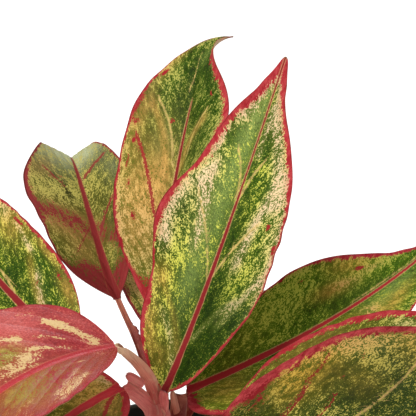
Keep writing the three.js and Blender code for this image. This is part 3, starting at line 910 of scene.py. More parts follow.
LOOKS["front_left"] = Look(
    CRIMSON,
    left_band=((0, 1), (0.3, 1.5), (0.45, 2.5), (1, 3)),
    right_band=((0, 1), (1, 2)),
    rib=((0, 2.4), (0.1, 2.8), (0.5, 2.6), (1, 1)),
    drift=0.4, wild_from=0.55, seed=9,
    marks=(
        *strokes(
            Tone.CREAM, (0.07, 0.26, 0.155, 0.6, 5.5, 0.9), (0.175, 0.62, 0.2, 0.7, 4.5, 0.9),
            (0.16, 0.16, 0.28, 0.3, 2.2, 0.66), (0.17, 0.34, 0.25, 0.46, 2.5, 0.62),
            (0.31, 0.5, 0.4, 0.6, 4, 0.9), (0.16, -0.3, 0.3, -0.2, 3, 0.5, 1),
            (0.34, -0.85, 0.2, -0.45, 7, 0.36), (0.2, -0.75, 0.3, -0.9, 5, 0.4),
            (0.45, -0.7, 0.36, -0.35, 9, 0.35),
        ),
        *patches(
            Tone.CREAM, (0.37, 0.22, 0.08, 0.2, 0.9), (0.3, 0.2, 0.06, 0.2, 0.4),
            (0.25, 0.85, 0.05, 0.06, 0.4), (0.28, -0.55, 0.17, 0.4, 0.74), (0.08, -0.3, 0.02, 0.2, 0.35),
        ),
        *patches(
            Tone.YELLOW, (0.37, 0.34, 0.06, 0.14, 1.0), (0.38, 0.32, 0.04, 0.1, 0.6),
            (0.36, -0.3, 0.12, 0.25, 1.0), (0.32, -0.5, 0.18, 0.4, 0.45),
        ),
        # Painted highlights: glossy pink patches on the right half.
        *patches(Tone.PALE, (0.3, 0.65, 0.09, 0.35, 0.9), (0.1, 0.75, 0.06, 0.2, 0.5)),
        *patches(Tone.DEEP, (0.25, -0.5, 0.3, 0.5, 0.7), (0.2, -0.3, 0.1, 0.3, 0.4)),
        *patches(Tone.RED, (0.26, -0.45, 0.2, 0.6, 0.6)),
    ),
)
LOOKS["low_front_left"] = Look(
    LOW,
    left_band=((0, 5), (0.1, 2.6), (0.3, 1.6), (1, 3)),
    right_band=((0, 5), (0.06, 2.6), (0.3, 3), (1, 3)),
    rib=((0, 7), (0.06, 5.4), (0.2, 5), (0.4, 3), (1, 1)),
    drift=-1.8, wild_from=0.32, seed=6,
    marks=(
        *patches(Tone.YELLOW, (0.12, -0.4, 0.09, 0.6, 0.8), (0.12, 0.4, 0.12, 0.5, 0.8)),
        *patches(Tone.CREAM, (0.05, 0.5, 0.03, 0.3, 0.5)),
        *patches(Tone.SPECK, (0.12, 0.2, 0.05, 0.15, 0.3)),
        *strokes(Ink.RED, (0.02, -0.15, 0.16, -0.5, 2.6, 1.0, 1)),
        *patches(Tone.RED, (0.08, -0.85, 0.06, 0.25, 0.5)),
    ),
)
LOOKS["right_back"] = Look(
    DUSK,
    left_band=((0, 4.5), (0.1, 3), (0.2, 1.4), (0.35, 1.2), (0.5, 1.1), (0.6, 2.0), (0.75, 2.4), (1, 2)),
    right_band=((0, 5), (0.1, 3), (0.4, 1.5), (0.7, 1), (1, 2)),
    rib=((0, 6.5), (0.06, 4.6), (0.25, 3.4), (0.36, 2.2), (0.5, 1.5), (0.7, 1.1), (1, 0.8)),
    drift=-0.8, wild_from=0.82, seed=4,
    marks=(
        *patches(
            Tone.YELLOW, (0.2, -0.5, 0.14, 0.5, 0.15), (0.52, -0.45, 0.07, 0.12, 0.6),
            (0.64, 0.5, 0.08, 0.2, 0.6), (0.6, -0.78, 0.07, 0.2, 0.6), (0.46, 0.4, 0.09, 0.3, 0.8),
            (0.12, 0.4, 0.08, 0.4, 0.5),
        ),
        *patches(
            Tone.CREAM, (0.55, -0.45, 0.05, 0.1, 0.4), (0.66, -0.6, 0.05, 0.12, 0.2),
            (0.56, 0.3, 0.04, 0.15, 0.4),
        ),
        *patches(
            Tone.RED, (0.62, -0.66, 0.02, 0.06, 0.8), (0.45, -0.78, 0.02, 0.06, 0.5),
            (0.02, 0.5, 0.04, 0.6, 0.5), (0.06, -0.7, 0.1, 0.5, 0.6),
        ),
        *patches(
            Tone.DEEP, (0.5, -0.2, 0.12, 0.2, 0.35), (0.62, 0.0, 0.1, 0.2, 0.3), (0.6, -0.25, 0.1, 0.2, 0.5),
        ),
        *patches(Tone.PALE, (0.66, 0.25, 0.1, 0.3, 0.6)),
        *patches(Tone.SPECK, (0.42, -0.5, 0.1, 0.4, 0.1)),
        *strokes(Ink.CREAM, (0.8, -0.2, 0.55, -0.1, 0.9, 0.5)),
    ),
)
LOOKS["right"] = Look(
    left_band=((0, 1), (0.1, 2), (0.2, 3.4), (0.35, 3.8), (0.5, 3.8), (0.62, 3), (1, 3)),
    wild_from=0.7, seed=15,
    marks=(
        *patches(Tone.YELLOW, (0.3, -0.7, 0.3, 0.3, 0.35)),
        *patches(Tone.DEEP, (0.35, -0.6, 0.3, 0.4, 0.6), (0.35, 0.4, 0.3, 0.5, 0.4)),
        *patches(Tone.CREAM, (0.62, -0.7, 0.06, 0.15, 0.3)),
    ),
)
# This leaf lies in shade, so its colour is painted shade: the shaded finish and its deep marks.
LOOKS["right_front"] = Look(
    SHADED,
    left_band=((0, 2.4), (0.06, 3.2), (0.12, 5), (0.22, 5.6), (0.3, 4.2), (0.38, 3), (0.54, 2.6), (1, 3)),
    rib=((0, 5), (0.2, 4), (0.5, 2.6), (1, 1)),
    wild_from=0.55, seed=21,
    marks=(
        # Painted shade, strongest near the base.
        *patches(
            Tone.DEEP, (0.04, -0.5, 0.13, 0.7, 0.9), (0.4, -0.3, 0.08, 0.2, 0.5), (0.5, -0.5, 0.08, 0.3, 0.4),
            (0.5, -0.15, 0.1, 0.2, 0.4), (0.35, -0.6, 0.03, 0.08, 0.5),
        ),
        *patches(
            Tone.YELLOW, (0.25, -0.7, 0.08, 0.3, 1.0), (0.34, -0.78, 0.05, 0.12, 0.4),
            (0.42, -0.5, 0.05, 0.2, 0.3),
        ),
        *patches(Tone.CREAM, (0.34, -0.85, 0.2, 0.12, 0.45)),
        *patches(Tone.SPECK, (0.48, -0.75, 0.12, 0.3, 0.12)),
        *patches(
            Tone.RED, (0.48, -0.93, 0.1, 0.04, 0.35), (0.42, -0.72, 0.015, 0.06, 0.5),
            (0.37, -0.52, 0.01, 0.04, 0.6), (0.14, -0.75, 0.05, 0.4, 0.5),
        ),
        *strokes(Ink.CREAM, (0.4, -0.1, 0.54, -0.58, 1.1, 0.9, 2)),
        *strokes(
            Ink.RED, (0.2, -0.2, 0.275, -0.52, 1.5, 0.9, 1), (0.3, -0.14, 0.345, -0.34, 1.2, 0.7, 1),
            (0.28, -0.62, 0.33, -0.8, 1.3, 0.8, 1),
        ),
    ),
)


# ---------------- meshes


def shown(name: str, data: bpy.types.ID) -> bpy.types.Object:
    """Show data in the scene.

    Args:
        name: The new object's name.
        data: Its mesh, camera or light.

    Returns:
        The object, linked, at the origin.
    """
    made = bpy.data.objects.new(name, data)
    bpy.context.scene.collection.objects.link(made)
    return made


def settled(name: str, host: bpy.types.Object) -> bpy.types.Object:
    """Turn an object with modifiers into a plain one.

    Args:
        name: The new piece's name.
        host: The object with its modifiers, which is removed.

    Returns:
        The new object.
    """
    graph = bpy.context.evaluated_depsgraph_get()
    mesh = bpy.data.meshes.new_from_object(host.evaluated_get(graph), depsgraph=graph)
    host.modifiers.clear()
    bpy.data.objects.remove(host)
    mesh.name = name
    return shown(name, mesh)


class Draft:
    """Points, faces and point attributes of one piece, in mm, before it becomes an object."""

    def __init__(self) -> None:
        """Start with nothing."""
        self.points: list[np.ndarray] = []
        self.faces: list[np.ndarray] = []
        self.attributes: dict[str, list[np.ndarray]] = {}
        self.count = 0

    def add(self, points: np.ndarray, attributes: dict[str, np.ndarray] | None = None) -> np.ndarray:
        """Add points.

        Args:
            points: An array whose last axis is x, y, z.
            attributes: Three numbers for each point, by attribute name.

        Returns:
            The points' numbers, in the shape of the array.
        """
        flat = points.reshape(-1, 3)
        for name, values in (attributes or {}).items():
            self.attributes.setdefault(name, []).append(values.reshape(-1, 3))
        numbers = np.arange(len(flat)).reshape(points.shape[:-1]) + self.count
        self.points.append(flat)
        self.count += len(flat)
        return numbers

    def skin(self, numbers: np.ndarray, flip: bool = False) -> None:
        """Add quads over a grid of points.

        Args:
            numbers: Rows of point numbers.
            flip: Whether the faces look the other way.
        """
        corners = [numbers[:-1, :-1], numbers[:-1, 1:], numbers[1:, 1:], numbers[1:, :-1]]
        quads = np.stack(corners, -1).reshape(-1, 4)
        self.faces.append(quads[:, ::-1] if flip else quads)

    def tube(self, numbers: np.ndarray) -> None:
        """Add quads over rings of point numbers, which close on themselves."""
        self.skin(np.concatenate([numbers, numbers[:, :1]], 1))

    def cap(
        self, ring: np.ndarray, centre: np.ndarray, attributes: dict[str, np.ndarray] | None = None,
        flip: bool = False,
    ) -> None:
        """Close a ring of points with a fan to its centre.

        Args:
            ring: The ring's point numbers.
            centre: The centre's x, y and z.
            attributes: The centre's attributes.
            flip: Whether the faces look the other way.
        """
        middle = self.add(centre[None], attributes)
        fan = np.stack([ring, np.roll(ring, -1), np.full(len(ring), middle[0])], -1)
        self.faces.append(fan[:, ::-1] if flip else fan)

    def rod(self, rings: np.ndarray, attributes: dict[str, np.ndarray] | None = None) -> None:
        """Add a closed solid of rings, from the bottom up.

        Args:
            rings: One row of points for each ring.
            attributes: Three numbers for each point, by attribute name.
        """
        numbers = self.add(rings, attributes)
        self.tube(numbers)
        for row, flip in ((0, True), (-1, False)):
            ends = {name: values[row, :1] for name, values in (attributes or {}).items()}
            self.cap(numbers[row], rings[row].mean(0).round(9), ends, flip)

    def sheet(
        self, faces: tuple[np.ndarray, np.ndarray], attributes: tuple[dict, dict],
        rim: tuple[np.ndarray, dict] | None = None,
    ) -> None:
        """Add a closed sheet with an upper and an under face.

        Args:
            faces: The upper and the under grid of points.
            attributes: The attributes of each.
            rim: Points and attributes of a ring between their borders, which rounds the sheet's edge.
        """
        above, below = (self.add(points, values) for points, values in zip(faces, attributes))
        self.skin(above)
        self.skin(below, flip=True)
        between = [] if rim is None else [self.add(*rim)]
        self.tube(np.stack([border(below), *between, border(above)])[::-1])

    def piece(self, name: str, material: bpy.types.Material) -> bpy.types.Object:
        """Make the object.

        Args:
            name: The piece's name.
            material: Its material.

        Returns:
            The linked object, in metres.
        """
        mesh = bpy.data.meshes.new(name)
        points = np.concatenate(self.points) * MM
        mesh.from_pydata(points.tolist(), [], [face for group in self.faces for face in group.tolist()])
        for key, values in self.attributes.items():
            stored = mesh.attributes.new(key, "FLOAT_VECTOR", "POINT")
            stored.data.foreach_set("vector", np.concatenate(values).astype(np.float32).ravel())
        mesh.polygons.foreach_set("use_smooth", np.ones(len(mesh.polygons), dtype=bool))
        mesh.materials.append(material)
        mesh.update()
        return shown(name, mesh)


def seat(piece: bpy.types.Object, slot: str, *nodes: str) -> bpy.types.Object:
    """Fasten a piece to the plant's one body.

    Args:
        piece: The finished piece.
        slot: The record's material slot; it is not used.
        nodes: The CAD nodes that it stands for.

    Returns:
        The piece.
    """
    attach(piece, "root")
    if nodes:
        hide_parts(*nodes)
    log.info("%s: %d faces", piece.name, len(piece.data.polygons))
    return piece


# ---------------- blades


@dataclass
class Blade:
    """One leaf blade: its form and how it is painted.

    t runs along it from 0 to 1 and u across it from -1 to 1. Lengths are in mm.
    """

    name: str
    form: Form
    look: Look
    finish: bpy.types.Material
    slot: str
    rows: int = 190
    columns: int = 34
    row_crowding: float = 1.2
    column_crowding: float = 0.92
    last_row: float = 0.9985
    path_steps: int = 800
    side_veins: float = 9.0
    vein_bend: float = 1.1
    thickness: float = 0.85
    edge_thickness: float = 0.42
    edge_reach: float = 9.0
    edge_bulge: float = 0.3
    keel: float = 1.5
    keel_half: Pair = (1.9, 0.9)
    stalk_half: float = 2.4
    tip_half: float = 0.6
    shoulder: float = 2.2
    hook_start: float = 0.8
    tip_length: float = 3.6
    tip_least: float = 0.1
    tip_blend: Pair = (14.0, 24.0)
    taper_reach: float = 20.0
    inset: float = 0.994
    quilt: float = 0.16
    quilt_half: Pair = (4.0, 14.0)
    quilt_reach: Pair = (0.02, 0.18)
    vein_width: float = 0.07
    vein_depth: float = 0.18
    frill: float = 0.45
    frills: float = 11.0
    groove: float = 0.45
    groove_width: float = 1.5
    line_fade: float = 5.0
    line_reach: float = 3.0
    rim_face: float = 0.6
    far: float = 9.0
    pattern_step: float = 37.0

    def outline(self, t: np.ndarray) -> np.ndarray:
        """Return the blade's plain outline.

        Args:
            t: Shares of the length.

        Returns:
            The half width at each t as a share of the widest half.
        """
        form = self.form
        rise = (1 - (1 - np.clip(t / form.widest, 0, 1)) ** self.shoulder) ** form.full
        fall = (1 - np.clip((t - form.widest) / (1 - form.widest), 0, 1) ** form.belly) ** form.taper
        return np.where(t < form.widest, rise, fall)

    def axes(self, t: np.ndarray) -> tuple[np.ndarray, np.ndarray, np.ndarray]:
        """Return how the blade is turned.

        Args:
            t: Shares of the length.

        Returns:
            The midrib's direction, the blade's right side and its upper side at each t.
        """
        form = self.form
        hooked = np.clip((t - self.hook_start) / (1 - self.hook_start), 0, None) ** 2
        heading = np.radians(form.heading + form.swing * t + form.veer * hooked)
        pitch = np.radians(form.pitch - form.droop * t**form.sag - form.hook * hooked)
        roll = np.radians(form.roll + form.twist * t + form.turn * hooked)[:, None]
        flat = np.cos(pitch)
        along = np.stack([np.cos(heading) * flat, np.sin(heading) * flat, np.sin(pitch)], -1)
        right = np.stack([np.sin(heading), -np.cos(heading), 0 * heading], -1)
        up = np.cross(right, along)
        return along, right * np.cos(roll) - up * np.sin(roll), up * np.cos(roll) + right * np.sin(roll)

    def midrib(self, t: np.ndarray) -> np.ndarray:
        """Return the midrib's line.

        Args:
            t: Shares of the length.

        Returns:
            Its point at each t.
        """
        steps = self.path_steps
        along, _, _ = self.axes((np.arange(steps) + 0.5) / steps)
        path = np.vstack([np.zeros(3), np.cumsum(along * self.form.length / steps, 0)])
        path = path + np.array(self.form.base)
        knots = np.linspace(0, 1, steps + 1)
        return np.stack([np.interp(t, knots, path[:, k]) for k in range(3)], -1)

    def tipped(self, plain: np.ndarray, t: np.ndarray) -> np.ndarray:
        """Give the outline its drip tip.

        Args:
            plain: Half widths in mm.
            t: Their shares of the length.

        Returns:
            The half widths, eased into a narrow, rounded tip.
        """
        to_go = (1 - t) * self.form.length
        from_tip = np.clip(to_go / self.tip_length, 0, 1)
        blunt = self.look.tip_round * np.sqrt(np.clip(1 - (1 - from_tip) ** 2, 0, 1)) + self.tip_least
        blunt = blunt + self.look.tip_taper * np.minimum(to_go, self.taper_reach)
        sharp = plain * (1 - (1 - from_tip) ** 3)
        easy = (sharp**6 + blunt**6) ** (1 / 6)
        start, end = self.tip_blend
        return np.where(to_go < end, easy + (plain - easy) * smooth(to_go, start, end), plain)

    def halves(self, t: np.ndarray, u: np.ndarray) -> tuple[np.ndarray, np.ndarray]:
        """Return the blade's width and wave.

        Args:
            t: Shares of the length.
            u: Places across, whose sign is the side.

        Returns:
            The half width in mm and the margin's wave in mm at each (t, u).
        """
        form = self.form
        pairs = (form.phase, form.lobe, form.wave)
        phase, lobe, margin = (np.where(u >= 0, right, left) for left, right in pairs)
        wave = np.sin(2 * np.pi * (form.waves * t + phase)) * np.sqrt(np.clip(np.sin(np.pi * t), 0, None))
        stem = self.stalk_half + (self.tip_half - self.stalk_half) * t
        plain = np.maximum(form.width / 2 * self.outline(t), stem)
        plain = self.tipped(plain, t) * self.inset
        return plain * (1 + form.skew * np.sign(u)) * (1 + lobe * wave), margin * wave

    def upper(self, t: np.ndarray, u: np.ndarray) -> np.ndarray:
        """Return the upper face without its relief.

        Args:
            t: Shares of the length, one for each row.
            u: Places across, one for each column.

        Returns:
            The grid of points.
        """
        form = self.form
        _, right, up = self.axes(t)
        grid_t, grid_u = np.meshgrid(t, u, indexing="ij")
        half, wave = self.halves(grid_t, grid_u)
        reach = np.abs(grid_u)
        fold = np.radians(np.where(grid_u < 0, form.fold[0], form.fold[1])) * (1 - form.flatten * grid_t)
        curl = math.radians(form.curl)
        across = (np.sin(fold) - np.sin(fold - curl * reach)) / curl * half * np.sign(grid_u)
        rise = (np.cos(fold - curl * reach) - np.cos(fold)) / curl * half + wave * reach**2
        return self.midrib(t)[:, None] + right[:, None] * across[..., None] + up[:, None] * rise[..., None]

    def vein_share(self, t: np.ndarray, u: np.ndarray) -> np.ndarray:
        """Return where the side vein through each (t, u) leaves the midrib, as a share of the length."""
        return t - np.where(u < 0, self.form.sweep[0], self.form.sweep[1]) * np.abs(u) ** self.vein_bend

    def flat(self, t: np.ndarray, u: np.ndarray) -> tuple[np.ndarray, np.ndarray]:
        """Return the places of (t, u) on the blade laid flat, in mm across and along."""
        half, _ = self.halves(t, u)
        return u * half, t * self.form.length

    def drift(self, t: np.ndarray) -> np.ndarray:
        """Return how far right of the middle the midrib runs at t, in mm."""
        return self.look.drift * np.sin(np.pi * np.clip(t, 0, 1) ** 0.6)

    def off_stroke(self, mark: Stroke, x: np.ndarray, y: np.ndarray) -> tuple[np.ndarray, np.ndarray]:
        """Measure flat places against a stroke.

        Args:
            mark: The stroke.
            x: Places across, in mm.
            y: Places along, in mm.

        Returns:
            How far beside the stroke each place lies, and how far past its ends, in mm.
        """
        (x0, x1), (y0, y1) = self.flat(*(np.array(pair, dtype=float) for pair in zip(mark.start, mark.end)))
        run = math.hypot(x1 - x0, y1 - y0)
        ahead_x, ahead_y = (x1 - x0) / run, (y1 - y0) / run
        ahead = (x - x0) * ahead_x + (y - y0) * ahead_y
        share = np.clip(ahead / run, 0, 1)
        beside = (x - x0) * ahead_y - (y - y0) * ahead_x - mark.bow * 4 * share * (1 - share)
        return beside, np.maximum(0, np.maximum(-ahead, ahead - run))

    def painted(self, t: np.ndarray, u: np.ndarray) -> tuple[np.ndarray, np.ndarray]:
        """Work out what the brush marks leave on the blade.

        Args:
            t: Shares of the length.
            u: Places across.

        Returns:
            The strength of each tone at each (t, u), tones last, and the nearest line there: its signed
            distance in mm, half its width there in mm, and how red it is.
        """
        paint = np.zeros((*t.shape, len(Tone)))
        lines = np.zeros((*t.shape, 3))
        lines[..., 0] = self.far
        x, y = self.flat(t, u)
        for mark in (*self.look.marks, *self.look.scattered()):
            if isinstance(mark, Patch):
                off = ((t - mark.along) / mark.radii[0]) ** 2 + ((u - mark.across) / mark.radii[1]) ** 2
                paint[..., mark.tone.value] += mark.strength * np.exp(-off)
                continue
            beside, past = self.off_stroke(mark, x, y)
            if isinstance(mark.tone, Tone):
                off = (beside / (mark.width / 2)) ** 2 + (past / mark.width) ** 2
                paint[..., mark.tone.value] += mark.strength * np.exp(-off)
                continue
            near = (np.abs(beside) < self.line_reach) & (np.abs(beside) < np.abs(lines[..., 0]))
            fading = 1 - smooth(np.abs(beside), self.line_reach - 1, self.line_reach)
            fading = fading * (1 - smooth(past, 0, self.line_fade))
            lines[near] = pack(beside, mark.width / 2 * mark.strength * fading, mark.tone.value)[near]
        return np.clip(paint, -1, 1), lines

    def attributes(self, t: np.ndarray, u: np.ndarray, face: float) -> dict[str, np.ndarray]:
        """Work out what the leaf material reads.

        Args:
            t: Shares of the length.
            u: Places across.
            face: 1 on the upper face, 0 on the under face.

        Returns:
            Three numbers at each (t, u), by attribute name.
        """
        form, look = self.form, self.look
        half, _ = self.halves(t, u)
        slope = np.gradient(half, t[:, 0] * form.length, axis=0)
        margin = (1 - np.abs(u)) * half / np.sqrt(1 + slope**2)
        paint, lines = self.painted(t, u)
        widths = (look.left_band, look.right_band, look.rib)
        left, right, rib = (np.interp(t, *np.transpose(pairs)) for pairs in widths)
        x, y = self.flat(t, u)
        lean = np.arctan2(form.width / 2, np.where(u < 0, *form.sweep) * form.length)
        across = y * np.sin(lean) - np.abs(x) * np.cos(lean) + pattern_shift(self.name, self.pattern_step)
        ahead = y * np.cos(lean) + np.abs(x) * np.sin(lean)
        return {
            "place": pack(across, ahead, x),
            "edges": pack(margin, np.where(u < 0, left, right), face),
            "rib": pack(x - self.drift(t), rib, self.vein_share(t, u) * self.side_veins),
            "lines": lines,
            "paint": paint[..., :3],
            "tint": paint[..., 3:],
            "tip": pack((1 - t) * form.length, t, 0.0),
        }

    def relief(self, t: np.ndarray, u: np.ndarray) -> np.ndarray:
        """Return the blade's relief: veins, quilting between them, a frilled margin and the midrib's groove.

        Args:
            t: Shares of the length.
            u: Places across.

        Returns:
            How far the blade's middle sheet is raised at each (t, u), in mm.
        """
        half, _ = self.halves(t, u)
        number = self.vein_share(t, u) * self.side_veins
        off = number - np.round(number)
        reach = np.abs(u)
        body = smooth(half, *self.quilt_half) * smooth(reach, *self.quilt_reach) * (1 - reach**3)
        pillow = np.cos(2 * np.pi * off + np.pi) * self.quilt
        vein = np.exp(-((off / self.vein_width) ** 2)) * self.vein_depth
        beat = self.frills * t + 0.4 * np.sin(9 * t + 2 * u)
        frill = np.sin(2 * np.pi * beat) * reach**5 * np.sin(np.pi * t)
        groove = np.exp(-(((u * half - self.drift(t)) / self.groove_width) ** 2)) * (1 - 0.5 * t)
        return (pillow - vein) * body + frill * self.frill - groove * self.groove

    def build(self) -> bpy.types.Object:
        """Make the blade: an upper and an under face that meet in a rounded margin.

        Returns:
            The finished piece.
        """
        t = self.last_row * (1 - np.linspace(1, 0, self.rows + 1) ** self.row_crowding)
        u = np.linspace(-1, 1, 2 * self.columns + 1)
        u = np.sign(u) * np.abs(u) ** self.column_crowding
        grid_t, grid_u = np.meshgrid(t, u, indexing="ij")
        half, _ = self.halves(grid_t, grid_u)
        sheet = self.upper(t, u)
        normal = unit(np.cross(np.gradient(sheet, axis=1), np.gradient(sheet, axis=0)))
        top = sheet + normal * self.relief(grid_t, grid_u)[..., None]
        body = smooth((1 - np.abs(grid_u)) * half, 0, self.edge_reach)
        thick = self.edge_thickness + (self.thickness - self.edge_thickness) * body
        base, narrowing = self.keel_half
        keel = self.keel * (1 - grid_t) * np.exp(-((grid_u * half / (base - narrowing * grid_t)) ** 2))
        under = top - normal * (thick + keel)[..., None]
        outward = unit(border(np.gradient(sheet, axis=1) * np.sign(grid_u)[..., None]))
        outer = (border(top) + border(under)) / 2 + outward * border(thick)[:, None] * self.edge_bulge
        above, below, rim = (self.attributes(grid_t, grid_u, face) for face in (1.0, 0.0, self.rim_face))
        draft = Draft()
        draft.sheet((top, under), (above, below), (outer, {key: border(value) for key, value in rim.items()}))
        return seat(draft.piece("leaf_" + self.name, self.finish), self.slot, "blade_" + self.name)


# ---------------- stalks


@dataclass(frozen=True)
class StalkFinish:
    """The shades of a leaf stalk, from its sheath to the blade."""

    name: str
    foot: Shade = (190, 92, 86)
    middle: Shade = (170, 62, 62)
    top: Shade = (150, 42, 50)
    streak: Shade = (128, 44, 44)
    dry: Shade = (214, 158, 124)

    def material(self) -> bpy.types.Material:
        """Write the stalk material: fine long streaks, paler and drier sheath edges.

        Returns:
            The material.
        """
        s = Shader(self.name)
        share, around, length = s.parts("stem")
        wing, torn, _ = s.parts("sheath")
        lines = s.noise(s.vector(around * 2.6, length * 0.05, 1.0), rough=0.6)
        blots = s.noise(s.vector(around * 0.8, length * 0.16, 5.0))
        specks = s.noise(s.vector(around * 2.4, length * 1.1, 9.0), detail=1.0)
        colour = s.mix(share.step(0.1, 0.55), self.foot, self.middle)
        colour = s.mix(share.step(0.5, 0.95), colour, self.top)
        colour = s.mix(lines.step(0.4, 0.95) * 0.5, colour, self.streak)
        colour = s.mix(blots.step(0.5, 0.95) * 0.35, colour, self.dry)
        colour = s.mix(s.grains(specks, 0.07) * 0.4, colour, self.dry)
        colour = s.mix(wing.step(0.75, 1.0) * (0.3 + blots * 0.5), colour, self.dry)
        colour = s.mix(torn * (0.3 + lines * 0.7), colour, self.streak)
        return s.surface(colour, 0.46 + blots * 0.12, lines * 0.7 + blots * 0.3, depth=0.2, gloss=0.25)


CRIMSON_STALK = StalkFinish("crimson_stalk")
ROSE_STALK = StalkFinish(
    "rose_stalk", foot=(222, 122, 114), middle=(226, 126, 118), top=(208, 98, 94), streak=(160, 60, 58),
    dry=(228, 164, 142),
)
TAN_STALK = StalkFinish(
    "tan_stalk", foot=(206, 102, 92), middle=(226, 144, 120), top=(252, 214, 178), streak=(146, 70, 54),
    dry=(224, 176, 144),
)
BROWN_STALK = StalkFinish(
    "brown_stalk", foot=(150, 58, 52), middle=(140, 60, 52), top=(190, 112, 88), streak=(110, 44, 40),
    dry=(206, 140, 108),
)
STALK_FINISHES = (CRIMSON_STALK, ROSE_STALK, TAN_STALK, BROWN_STALK)


@dataclass(frozen=True)
class Sheath:
    """How a stalk widens into its sheath: (share of the stalk, half width in mm), left and right of it.

    open_to is where the sheath closes into a stalk, torn is where its dried, ragged edge lies, and turn is
    how far it is rolled round its own line, in degrees.
    """

    finish: StalkFinish = CRIMSON_STALK
    left: tuple[Pair, ...] = ((0, 4.5), (0.25, 3.9), (0.45, 3.2), (0.55, 2.3), (1, 2.2))
    right: tuple[Pair, ...] = ((0, 4.5), (0.25, 3.9), (0.5, 3.2), (0.6, 2.3), (1, 2.2))
    open_to: float = 0.5
    torn: Pair = (0.45, 0.6)
    turn: tuple[Pair, ...] = ((0, 0), (1, 0))


SHEATHS = {
    "front_tall": Sheath(
        ROSE_STALK, left=((0, 4.6), (0.6, 4.6), (0.85, 4.0), (1, 2.4)),
        right=((0, 4.4), (0.6, 4.4), (0.85, 3.8), (1, 2.4)), open_to=0.7, torn=(1.2, 1.3),
    ),
    "front_left": Sheath(
        TAN_STALK, left=((0, 4.4), (0.3, 4.6), (0.5, 4.3), (0.75, 3.0), (0.9, 2.2), (1, 1.4)),
        right=(
            (0, 4.2), (0.4, 3.9), (0.58, 3.6), (0.66, 4.6), (0.71, 3.4), (0.85, 2.9), (0.95, 1.8), (1, 1.4),
        ),
        open_to=0.92, torn=(0.56, 0.88),
    ),
    "low_front_left": Sheath(
        ROSE_STALK, left=((0, 4.6), (0.5, 4.6), (0.85, 3.6), (0.95, 2.6), (1, 2.4)),
        right=((0, 4.4), (0.5, 4.4), (0.85, 3.8), (0.95, 2.6), (1, 2.4)), open_to=0.9, torn=(1.2, 1.3),
        turn=((0, -20), (0.25, -75), (0.85, -80), (1, -30)),
    ),
    "back_left": Sheath(
        BROWN_STALK, left=((0, 4.0), (0.25, 3.4), (0.45, 2.4), (0.6, 1.7), (1, 1.6)),
        right=((0, 4.0), (0.3, 3.2), (0.48, 2.7), (0.58, 3.4), (0.64, 3.1), (0.69, 1.8), (1, 1.6)),
        open_to=0.58, torn=(0.5, 0.7),
    ),
    "right_back": Sheath(
        BROWN_STALK, left=((0, 4.2), (0.75, 4.0), (0.9, 3.4), (1, 2.4)),
        right=((0, 4.6), (0.5, 5.4), (0.82, 6.4), (0.9, 5.2), (0.96, 3.2), (1, 2.4)),
        open_to=0.86, torn=(0.7, 0.92), turn=((0, 90), (0.85, 80), (1, 0)),
    ),
}


